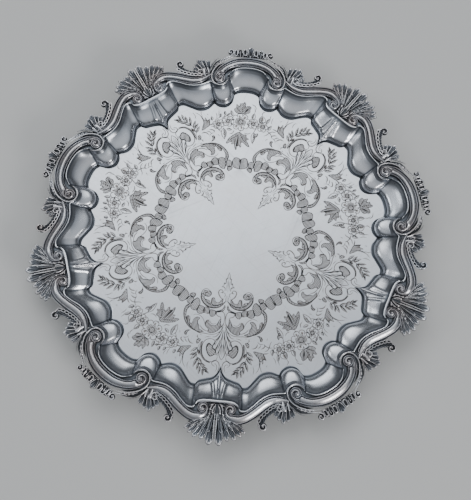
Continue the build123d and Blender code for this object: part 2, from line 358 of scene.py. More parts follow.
def makeSilver(name, rough, patina, recess, corner, grain, thick="steel", worn=0.0):
    # rough: of clean metal; patina: how much thin tarnish lies about
    # recess: reach of the painted shade in corners and between parts, in mm; corner: how dark that painted
    # shade gets
    material = bpy.data.materials.new(name)
    material.use_nodes = True
    tree = material.node_tree
    tree.nodes.clear()
    here = addNode(tree, "ShaderNodeTexCoord", output=3)
    cloud = noise(tree, here, 38.0, 5.0, 0.6)
    fine = noise(tree, here, 420.0, 4.0, 0.65)
    speck = noise(tree, here, 1600.0, 2.0, 0.5)
    # the piece's tarnish together with painted shade in its grooves, creases, hollows and undersides
    made = addNode(tree, "ShaderNodeAttribute", {"attribute_name": "tarnish"}, output=2)
    # painted shade: ambient occlusion darkens corners, creases and the gaps between parts
    hollow = addNode(tree, "ShaderNodeAmbientOcclusion", {"samples": 8}, {"Distance": recess * mm}, output=1)
    hollow = 1.0 - hollow
    # tarnish with painted shade, the painted shade of occlusion, and some uneven cloud
    tarnishAndPaintedShade = made + hollow ** 1.7 * corner + (cloud - 0.5) * 0.25 * (made + 0.15) + (fine - 0.5) * 0.2 * made
    tarnishAndPaintedShade = tarnishAndPaintedShade.clamped()
    thin = ((cloud - 0.42) * 2.2 * patina + (fine - 0.5) * 0.5 * patina + patina * 0.35).clamped()
    colour = blendColour(tree, thin, silverLook["bright"], silverLook["warm"])
    steel = spread(tree, tarnishAndPaintedShade, 0.15, 0.6, "SMOOTHSTEP")
    black = spread(tree, tarnishAndPaintedShade, 0.5, 1.0, "SMOOTHSTEP")
    colour = blendColour(tree, steel, colour, silverLook[thick])
    colour = blendColour(tree, black, colour, silverLook["black"])
    first, second, third = [streaks(tree, here, turn, close) for turn, close in silverLook["streaks"]]
    wear = (first + second + third) * worn
    colour = blendColour(tree, wear.clamped(), colour, silverLook["steel"])
    roughness = (thin * 0.08 + tarnishAndPaintedShade * 0.3 + (fine - 0.5) * 0.12 + wear * 0.3 + rough).clamped()
    bump = addNode(tree, "ShaderNodeBump", {}, {"Strength": grain, "Distance": 0.00012,
                                                "Height": cloud * 0.5 + fine * 0.4 + speck * 0.15})
    surface = addNode(tree, "ShaderNodeBsdfPrincipled", {}, {
        "Base Color": colour, "Roughness": roughness, "Metallic": (1.0 - black * 0.6).clamped(),
        "Normal": bump})
    addNode(tree, "ShaderNodeOutputMaterial", {}, {"Surface": surface})
    return material


floorSilver = makeSilver("floorSilver", rough=0.3, patina=0.2, recess=0.8, corner=0.5, grain=0.12,
                         thick="brown", worn=0.12)
castSilver = makeSilver("castSilver", rough=0.24, patina=0.75, recess=1.6, corner=0.6, grain=0.3)
wallSilver = makeSilver("wallSilver", rough=0.17, patina=0.35, recess=3.0, corner=0.7, grain=0.2)
footSilver = makeSilver("footSilver", rough=0.3, patina=0.6, recess=2.5, corner=0.8, grain=0.4)
print("materials made")

# share of the band's width from its outer edge, height, tarnish with painted shade, darkest in the grooves
# and at the edges
scrollSection = np.array([
    (0.0, 0.0, 0.7), (0.008, 1.0, 0.3), (0.03, 1.85, 0.0), (0.062, 2.2, 0.0), (0.094, 1.85, 0.05),
    (0.112, 1.3, 0.8), (0.13, 1.1, 1.0), (0.155, 1.2, 0.75), (0.2, 1.55, 0.35), (0.26, 2.0, 0.15),
    (0.35, 2.5, 0.05), (0.45, 2.95, 0.0), (0.55, 3.3, 0.0), (0.64, 3.5, 0.0), (0.71, 3.4, 0.0),
    (0.755, 3.0, 0.1), (0.785, 2.4, 0.6), (0.805, 2.05, 1.0), (0.825, 2.1, 0.8), (0.85, 2.55, 0.05),
    (0.885, 2.75, 0.0), (0.925, 2.5, 0.0), (0.955, 1.8, 0.25), (0.98, 0.8, 0.9), (1.0, 0.0, 1.0),
])
beadShare = 0.13    # the outer bead's part of the band's width


def loftBand(casting, edges, fullWidth, lift, stretch=1.0):
    # edges: outer x and y, inner x and y; the section thins where the band narrows
    outer, inner = edges[:, :2], edges[:, 2:]
    width = np.linalg.norm(outer - inner, axis=1)
    thin = np.clip(width / fullWidth, 0.02, 1) ** 0.75
    share, height, dark = scrollSection.T
    # the outer bead keeps its width where the band narrows
    keep = np.clip(beadShare * fullWidth / np.maximum(width, 0.3), beadShare, 0.45)[:, None]
    past = keep + (share - beadShare) / (1 - beadShare) * (1 - keep)
    share = np.where(share <= beadShare, share / beadShare * keep, past)
    flat = outer[:, None] * (1 - share[..., None]) + inner[:, None] * share[..., None]
    tall = height[None] * thin[:, None] * stretch
    beadPart = np.clip(1 - np.abs(np.arange(len(dark)) - 3) / 3, 0, 1)[None]
    tall = np.maximum(tall, beadPart * height[None] * np.clip(thin[:, None], 0.55, 1))
    z = flangeTop + tall + np.where(height[None] > 0, lift[:, None], 0)
    casting.tube(np.dstack([flat, z]), dark)


def dome(casting, centre, radius, base, height, dark=0.0, sides=16, rings=6):
    # base is its foot's height above the flange
    rows = []
    turn = np.linspace(0, 2 * math.pi, sides, endpoint=False)
    for k in range(rings):
        lean = math.pi / 2 * k / (rings - 0.6)
        flat = radius * math.cos(lean)
        rows.append(np.stack([centre[0] + flat * np.cos(turn), centre[1] + flat * np.sin(turn),
                              np.full(sides, flangeTop + base + height * math.sin(lean))], 1))
    casting.tube(rows, dark)


def sweep(casting, line, height, radius, dark=0.0, squash=1.0, sides=8):
    # a round wire along a flat line; height above the flange and radius may change along it
    line = np.asarray(line, float)
    n = len(line)
    height, radius = np.broadcast_to(flangeTop + height, n), np.broadcast_to(radius, n)
    side = sidesOf(line)
    turn = np.linspace(0, 2 * math.pi, sides, endpoint=False)
    rows = np.empty((n, sides, 3))
    rows[..., :2] = line[:, None] + side[:, None] * (radius[:, None] * np.cos(turn))[..., None]
    rows[..., 2] = height[:, None] + radius[:, None] * squash * np.sin(turn)
    casting.tube(rows, dark)


def scrollEdges(s):
    # edges of a band that runs from its far end into its volute, and how much the volute climbs
    wound = np.linspace(0, s["windings"], 56)
    volute = (s["volute"], s["voluteRadius"], s["tighten"], 180, 1)
    outer, inner = spiral(*volute, wound), spiral(*volute, wound + 2 * math.pi)
    innerLead = spiral(*volute, np.linspace(-s["before"], 0, 7)[1:-1] + 2 * math.pi)
    lead = through([s["edges"][-1][:2], *s["lead"], outer[0], outer[2]], 41)[:33]
    near = lead[np.linspace(2, 30, 6).astype(int)][1:]
    body = through(np.vstack([s["edges"], np.hstack([near, innerLead])]), s["rows"])[:-1]
    climb = s["rise"] * (wound / wound[-1]) ** 0.8
    return np.vstack([body, np.hstack([outer, inner])]), np.concatenate([np.zeros(len(body)), climb])


def eye(casting, s, side=1):
    dome(casting, (side * s["volute"][0], s["volute"][1]), s["eye"], 0, salver["castTop"] - flangeTop)


sScrollSizes = {
    "volute": (9.8, 129.9), "voluteRadius": 4.75, "tighten": 0.152, "windings": 8.6, "eye": 1.15,
    "width": 7.6,
    "rise": 1.1,    # how much the volute climbs to its eye
    "before": 2.2,    # how far before the volute the inner edge starts to wind
    "rows": 110, "lead": [(7.4, 137.3), (5.6, 134.2)],    # of the band, and where it leads into the volute
    # outer x, outer y, inner x, inner y, from the palmette to the volute
    "edges": [
        (50.0, 122.2, 50.5, 118.6), (45.0, 122.9, 45.2, 117.0), (40.0, 124.6, 40.0, 116.7),
        (35.6, 127.5, 34.6, 118.4), (31.0, 131.7, 28.9, 123.0), (26.0, 135.8, 23.8, 127.8),
        (21.0, 138.9, 19.6, 130.9), (15.4, 140.4, 16.2, 132.4), (10.6, 139.4, 13.3, 132.7),
    ],
}


def sScroll():
    casting = Casting()
    edges, lift = scrollEdges(sScrollSizes)
    loftBand(casting, edges, sScrollSizes["width"], lift)
    eye(casting, sScrollSizes)
    return casting


cScrollSizes = {
    "volute": (-22.3, 124.6), "voluteRadius": 5.1, "tighten": 0.155, "windings": 9.0, "eye": 1.25,
    "width": 8.4, "rise": 1.2, "taller": 1.06, "before": 2.0,
    "rows": 80, "lead": [(-26.4, 129.4), (-27.2, 126.2)],
    "edges": [
        (0.0, 143.9, 0.0, 135.7), (-6.0, 143.4, -5.6, 135.3), (-11.5, 142.0, -10.6, 134.1),
        (-16.3, 139.7, -14.9, 132.2), (-20.8, 136.6, -17.8, 129.5), (-24.3, 133.1, -19.2, 127.2),
    ],    # from the middle to the volute
}


def cScroll():
    casting = Casting()
    edges, lift = scrollEdges(cScrollSizes)
    edges = np.vstack([(edges * [-1, 1, -1, 1])[:0:-1], edges])
    lift = np.concatenate([lift[:0:-1], lift])
    loftBand(casting, edges, cScrollSizes["width"], lift, cScrollSizes["taller"])
    for side in (-1, 1):
        eye(casting, cScrollSizes, side)
    return casting


def petal(casting, root, tip, rootHalf, tipHalf, base=0.0, height=1.6, bow=0.0, curl=0.5, ribs=(0.0,),
          shoulder=0.72, full=False):
    # a lobe with a raised rim, a hollow darkened with tarnish and painted shade, and ribs, or a full rounded
    # one
    # base is its height above the flange
    root, tip = np.array(root, float), np.array(tip, float)
    run = tip - root
    side = np.array([-run[1], run[0]]) / np.linalg.norm(run)
    s = 1 - np.linspace(1, 0, 22) ** 1.6
    v = np.linspace(-1, 1, 19)
    line = root + s[:, None] * run + (np.sin(math.pi * s) * bow)[:, None] * side
    across = sidesOf(line)
    end = np.clip(s - shoulder, 0, 1) / (1 - shoulder)
    rounding = np.sqrt(np.clip(1 - end**2, 0.0004, 1))
    half = (rootHalf + (tipHalf - rootHalf) * np.clip(s / shoulder, 0, 1) ** 0.85) * rounding
    sideways = rounding[:, None] * v[None]
    # how near the outline, round the tip as well
    reach = np.sqrt(sideways**2 + end[:, None] ** 2)
    if full:
        lift = np.sqrt(np.clip(1 - reach**2, 0, 1))
        # painted shade darkens the rounded lobe towards its edge
        tone = np.clip((reach - 0.8) * 4, 0, 0.8)
    else:
        rim = np.exp(-((reach - 0.83) / 0.15) ** 2)
        fade = np.clip(1.15 - reach, 0, 1)
        spine = sum((np.exp(-((sideways - rib) / 0.11) ** 2) for rib in ribs), np.zeros(reach.shape)) * fade
        lift = (0.3 + rim * 0.7 + spine * 0.45) * np.clip((1 - reach) / 0.07, 0, 1)
        # tarnish and painted shade darken the hollow and the outline, while the rim and ribs stay bright
        tone = np.clip(0.78 - rim * 1.0 - spine * 0.75, 0.0, 1) + np.clip((reach - 0.94) * 8, 0, 0.6)
    swell = 0.6 + 0.4 * np.sin(math.pi * np.clip(s, 0, 1) ** 0.8)
    z = flangeTop + base + height * swell[:, None] * lift + (curl * s**2)[:, None] * (np.abs(v) < 0.99)[None]
    flat = line[:, None] - across[:, None] * (half[:, None] * v[None])[..., None]
    closeUnder(casting, flat, z, tone, flangeTop + base - 0.25, 0.4)


def closeUnder(casting, flat, z, tone, bottom, dark):
    # a sheet of rows with a flat underside, which takes the given darkness as painted shade
    under = np.dstack([flat[:, ::-1], np.full(z.shape, bottom)])[:, 1:-1]
    sheet = np.concatenate([np.dstack([flat, z]), under], 1)
    casting.tube(sheet, np.concatenate([tone, np.full(tone.shape, dark)[:, 1:-1]], 1))


shellSizes = {
    # root x and y, tip x and y, half width at the root and the tip
    # height above the flange, height of the edges, and the petals' ribs
    "petals": [
        (8.4, 138.8, 20.4, 142.0, 0.5, 1.15, 0.0, 1.2, (0.0,)),
        (6.2, 137.2, 21.6, 144.8, 0.5, 1.7, 0.15, 1.4, (-0.3, 0.3)),
        (4.8, 136.0, 18.9, 147.6, 0.5, 2.05, 0.35, 1.5, (-0.3, 0.3)),
        (3.6, 134.8, 15.0, 150.4, 0.5, 2.25, 0.6, 1.6, (-0.3, 0.3)),
        (2.6, 133.6, 9.7, 151.4, 0.5, 2.3, 0.8, 1.6, (-0.3, 0.3)),
        (1.3, 132.4, 3.75, 155.0, 0.6, 3.1, 1.0, 1.8, (-0.35, 0.25)),
    ],
    "buds": [
        (2.0, 133.2, 4.7, 146.6, 0.4, 1.5, 1.7, 1.6), (3.0, 133.8, 9.2, 144.8, 0.4, 1.2, 1.5, 1.4),
        (4.2, 134.8, 12.8, 144.0, 0.35, 1.05, 1.2, 1.2),
    ],
    "husks": [
        ((0.9, 127.4), (2.6, 134.0), 0.5, 0.95, -0.7), ((2.6, 127.2), (4.4, 131.6), 0.45, 0.75, -0.6),
        ((1.7, 126.2), (5.2, 127.6), 0.4, 0.8, 0.4),
    ],    # root, tip, half width at the root and the tip, bow
    "stem": [(0.7, 133.2), (0.95, 140.0), (0.75, 147.0), (1.0, 152.6)],
    "edge": [(4.4, 130.6), (4.7, 133.6), (6.2, 137.2), (9.0, 140.0), (12.6, 141.4)],
}


def shell():
    half = Casting()
    for x, y, tipX, tipY, rootHalf, tipHalf, base, height, ribs in shellSizes["petals"]:
        petal(half, (x, y), (tipX, tipY), rootHalf, tipHalf, base, height, bow=-0.05 * (tipX - x), ribs=ribs)
    for x, y, tipX, tipY, rootHalf, tipHalf, base, height in shellSizes["buds"]:
        petal(half, (x, y), (tipX, tipY), rootHalf, tipHalf, base, height, bow=-0.04 * (tipX - x), ribs=())
    # two bright ribs from the root into the great middle petals, and the leaf edge that hugs the S-scroll
    stem = through(shellSizes["stem"], 24)
    sweep(half, stem, np.linspace(2.2, 3.1, 24), ramp(24, [0, 0.5, 1], [0.4, 0.5, 0.4]))
    edge = through(shellSizes["edge"], 44)
    lumps = 0.5 + 0.26 * np.cos(np.linspace(0, 10 * math.pi, 44))
    sweep(half, edge, 1.4, lumps * ramp(44, [0, 0.2, 0.8, 1], [0.5, 1.2, 1.2, 0.3]), 0.02)
    for root, tip, rootHalf, tipHalf, bow in shellSizes["husks"]:
        petal(half, root, tip, rootHalf, tipHalf, 0.7, 1.7, bow=bow, full=True)
    casting = Casting()
    casting.join(half)
    casting.join(half.mirrored())
    petal(casting, (0, 126.6), (0, 136.4), 1.0, 1.65, 1.0, 1.9, ribs=())
    return casting


palmetteSizes = {
    "petals": [
        (45.8, 122.6, 41.3, 131.9, 0.5, 1.9, 0.1, 1.3, (-0.25, 0.3)),
        (50.8, 122.4, 54.7, 131.6, 0.5, 2.1, 0.1, 1.4, (-0.3, 0.25)),
        (46.9, 122.0, 44.2, 134.0, 0.5, 1.75, 0.5, 1.4, (0.0,)),
        (49.6, 122.0, 50.9, 134.3, 0.5, 1.8, 0.5, 1.4, (0.0,)),
        (48.2, 121.4, 47.5, 136.1, 0.6, 2.1, 0.8, 1.5, (-0.3, 0.3)),
    ],
}


def palmette():
    casting = Casting()
    for x, y, tipX, tipY, rootHalf, tipHalf, base, height, ribs in palmetteSizes["petals"]:
        petal(casting, (x, y), (tipX, tipY), rootHalf, tipHalf, base, height, ribs=ribs)
    petal(casting, (46.0, 120.4), (48.8, 127.6), 0.9, 1.7, 0.9, 1.6, bow=0.5, full=True)
    petal(casting, (49.4, 120.8), (51.4, 127.0), 0.6, 1.0, 0.8, 1.4, full=True)
    return casting


tendrilSizes = {
    "height": 1.5, "leaves": 11,
    "chain": 2.6,    # between two links
    "linkLong": 1.45, "linkWide": 1.0, "wire": 0.3,
    "edges": [
        (44.6, 122.9, 44.4, 124.4), (41.0, 123.9, 41.8, 127.9), (38.0, 125.5, 39.6, 129.4),
        (35.8, 127.3, 37.2, 131.6), (33.6, 129.4, 35.4, 134.0), (31.8, 132.0, 34.2, 136.8),
        (30.4, 134.8, 33.4, 138.2), (29.7, 137.2, 32.4, 139.2), (30.4, 139.9, 32.4, 140.2),
    ],
    "chainLine": [
        (42.4, 123.5), (41.2, 124.1), (39.1, 125.4), (36.9, 127.1), (34.9, 129.1), (33.0, 131.1),
        (31.4, 133.1), (30.2, 135.4),
    ],
}
chainLinks = linkTree()


def curlWire(casting, centre, radius, start, turn, lead):
    # a wire that comes in along its lead and winds to a small ball
    curl = spiral(centre, radius, radius * 0.048, start, turn, np.linspace(0, 6.9, 44))
    line = np.vstack([through(lead + [curl[0], curl[2]], 12)[:-3], curl])
    thick = ramp(len(line), [0, 0.2, 0.75, 1], [0.25, 0.55, 0.5, 0.35])
    sweep(casting, line, 1.5, thick, squash=1.2)
    dome(casting, centre, radius * 0.3, 0.6, 1.9)
    # a dark disc under the curl, painted shade for the openings between its turns
    dome(casting, centre, radius * 0.95, 0, 0.8, dark=0.95, sides=20)


def addLinks(casting, line, height, values):
    mesh = bpy.data.meshes.new("path")
    mesh.from_pydata([(*p, height) for p in line], [(i, i + 1) for i in range(len(line) - 1)], [])
    links = grown(chainLinks, place("path", mesh), values)
    casting.add([corner.co for corner in links.vertices], [face.vertices for face in links.polygons], 0.0)
    bpy.data.meshes.remove(links)


def addTendril(casting):
    t = tendrilSizes
    edges = through(t["edges"], 70)
    outer, inner = edges[:, :2], edges[:, 2:]
    v = np.linspace(0, 1, 17)
    # the leaves lean along the scroll and each has a bright edge; the band between them is dark, painted
    # shade for the openings of the pierced work
    wave = np.arange(70)[:, None] / 69 * t["leaves"] - v[None] * 1.1
    leaves = np.clip(np.cos(2 * math.pi * wave), 0, 1) ** 1.5 * np.sin(math.pi * v) ** 0.5
    rim = np.exp(-((v - 0.9) / 0.08) ** 2)[None] * (0.65 + 0.35 * np.cos(2 * math.pi * wave))
    z = flangeTop + 0.35 + t["height"] * (0.12 + rim * 0.6 + 0.5 * leaves)
    z[:, [0, -1]] = flangeTop + 0.1
    flat = outer[:, None] * (1 - v[:, None]) + inner[:, None] * v[:, None]
    closeUnder(casting, flat, z, np.clip(0.8 - rim * 0.75 - 0.6 * leaves, 0, 1), flangeTop - 0.1, 0.9)
    # open links along the scroll's edge, each round a dark boss, painted shade for the opening in the link
    length = np.linalg.norm(np.diff(np.array(t["chainLine"]), axis=0), axis=1).sum()
    count = int(length / t["chain"]) + 1
    addLinks(casting, through(t["chainLine"], 60), flangeTop + 2.25,
             {"Links": count, "Long": t["linkLong"], "Wide": t["linkWide"], "Wire": t["wire"]})
    for spot in through(t["chainLine"], count):
        dome(casting, spot, t["linkWide"] * 0.95, 0.9, 1.0, dark=1.0, sides=8, rings=3)
    curlWire(casting, (43.9, 125.5), 2.9, 250, 1, [(39.4, 125.0), (41.2, 123.8)])
    curlWire(casting, (33.7, 139.1), 2.9, 190, -1, [(29.8, 134.2), (29.7, 136.8)])


crestSizes = {
    "reach": 13.4, "baseRadius": 144.9, "wire": 0.42,
    "rings": [(4.35, 0.7, 5.7, 1.3), (11.5, 0.0, 4.8, 1.1)],    # x along the rim, foot, top, half width
    "knots": [(0.0, 0.95), (2.2, 0.6), (6.0, 0.75), (8.0, 0.7), (9.6, 0.55), (13.2, 0.6)],    # x, radius
    "arch": [(6.8, 2.4), (6.7, 4.4), (7.2, 5.7), (8.4, 6.1), (9.6, 5.4), (9.9, 3.6), (9.5, 2.0)],
    # x of the root, x and height of the tip, half width at the root and the tip, height of the edges
    "buds": [(8.2, 8.3, 4.6, 0.3, 0.6, 1.5), (2.6, 2.5, 3.4, 0.3, 0.5, 1.3)],
    "curl": [(23.0, -3.4), (18.6, -1.4), (14.9, 0.4)],
}


def around(x, radius):
    # a point beside the C-scroll's middle, x along the rim
    lean = x / radius
    return (radius * math.sin(lean), radius * math.cos(lean))


def squarer(value):
    return math.copysign(abs(value) ** 0.7, value)


def addCrest(casting):
    c = crestSizes
    base = c["baseRadius"]
    spots = np.linspace(-c["reach"], c["reach"], 60)
    # a dark backing under the crest, painted shade for the openings of the pierced work
    ground = np.array([around(x, base + 2.6) for x in spots])
    wide = 3.1 * np.clip(1.25 - (spots / 15) ** 4, 0.3, 1)
    sweep(casting, ground, 0.45, wide, 1.0, squash=0.28)
    petal(casting, around(0, base + 0.2), around(0, base + 8.2), 1.0, 2.8, 0.5, 1.7, ribs=(-0.35, 0.35),
          shoulder=0.62)
    for side in (-1, 1):
        for x, low, high, half in c["rings"]:
            ring = [around(side * x + half * squarer(math.cos(a)),
                           base + (low + high) / 2 + (high - low) / 2 * squarer(math.sin(a)))
                    for a in np.linspace(0, 2 * math.pi, 25)]
            sweep(casting, ring, 1.6, c["wire"], squash=1.2)
        arch = [around(side * x, base + y) for x, y in c["arch"]]
        sweep(casting, through(arch, 22), 1.6, c["wire"], squash=1.2)
        for x, tipX, tipY, rootHalf, tipHalf, height in c["buds"]:
            petal(casting, around(side * x, base + 0.4), around(side * tipX, base + tipY), rootHalf, tipHalf,
                  0.3, height, full=True)
        for x, radius in c["knots"][0 if side > 0 else 1:]:
            dome(casting, around(side * x, base + 0.1), radius, 0.7, 1.5, sides=10, rings=4)
        curlWire(casting, around(side * 15.6, base + 3.4), 2.3, 90 + side * 130, -side,
                 [around(side * x, base + y) for x, y in c["curl"]])


flourishSizes = {
    "thread": [(-13.0, 143.1), (-18.0, 140.7), (-23.2, 136.7), (-27.2, 131.6), (-28.8, 126.4), (-28.0, 121.8),
               (-25.2, 118.9), (-21.4, 118.2), (-17.9, 119.6), (-16.2, 122.4), (-15.7, 125.4)],
    "leaf": [(-30.4, 122.6), (-30.9, 127.6), (-30.0, 133.2), (-27.9, 137.8), (-25.0, 141.2)],
    "shoulder": [(-27.2, 133.6), (-24.6, 137.0), (-21.0, 139.6), (-16.6, 141.8)],
    "behind": [(-29.2, 129.0), (-27.2, 134.6), (-23.6, 138.8), (-18.6, 142.2)],
}


def addFlourish(casting):
    # the thread outside a C-scroll's volute, the lumpy leaf on its shoulder and the long leaf behind, which
    # is dark as painted shade
    f = flourishSizes
    lumps = 0.62 + 0.3 * np.cos(np.linspace(0, 9 * math.pi, 50))
    for side in (-1, 1):
        sweep(casting, through(f["thread"], 70) * [-side, 1],
              ramp(70, [0, 0.3, 0.7, 1], [1.8, 1.6, 1.9, 1.5]),
              ramp(70, [0, 0.25, 0.8, 1], [0.1, 0.5, 0.5, 0.12]))
        sweep(casting, through(f["leaf"], 40) * [-side, 1], 1.4,
              ramp(40, [0, 0.4, 0.8, 1], [0.15, 0.6, 0.5, 0.1]), 0.03, squash=1.3)
        sweep(casting, through(f["shoulder"], 50) * [-side, 1], 1.5,
              lumps * ramp(50, [0, 0.3, 0.7, 1], [0.3, 1.2, 1.1, 0.2]), 0.03, squash=1.2)
        sweep(casting, through(f["behind"], 30) * [-side, 1], 0.4,
              ramp(30, [0, 0.5, 1], [0.8, 1.7, 0.5]), 0.85, squash=0.4)


sCasting, cCasting, leafCasting = sScroll(), cScroll(), palmette()
addTendril(sCasting)
addCrest(cCasting)
addFlourish(cCasting)
placeRound("sScrollLeft", sCasting, castSilver, "s_scroll_left")
placeRound("sScrollRight", sCasting.mirrored(), castSilver, "s_scroll_right")
placeRound("cScroll", cCasting.turned(-sector / 2), castSilver, "c_scroll")
placeRound("shellCast", shell(), castSilver, "shell")
placeRound("palmetteLeft", leafCasting, castSilver, "palmette_left")
placeRound("palmetteRight", leafCasting.mirrored(), castSilver, "palmette_right")
print("border made")

engraver = {
    "depth": 0.07,
    "step": 1.25,    # between the points of a long cut
    "hatch": 0.95,    # between two cuts of a shaded body
    "bold": 1.35, "line": 1.0, "fine": 0.7,    # widths of the cuts
    "scale": 0.99,
    "sample": 0.12,    # between the points that measure a groove's depth
    # a flower's petal: share of the angle between two petals, and of the flower's radius
    "petal": [(-0.5, 0.62), (-0.47, 0.8), (-0.3, 0.96), (0.0, 1.0), (0.3, 0.96), (0.47, 0.8), (0.5, 0.62)],
}
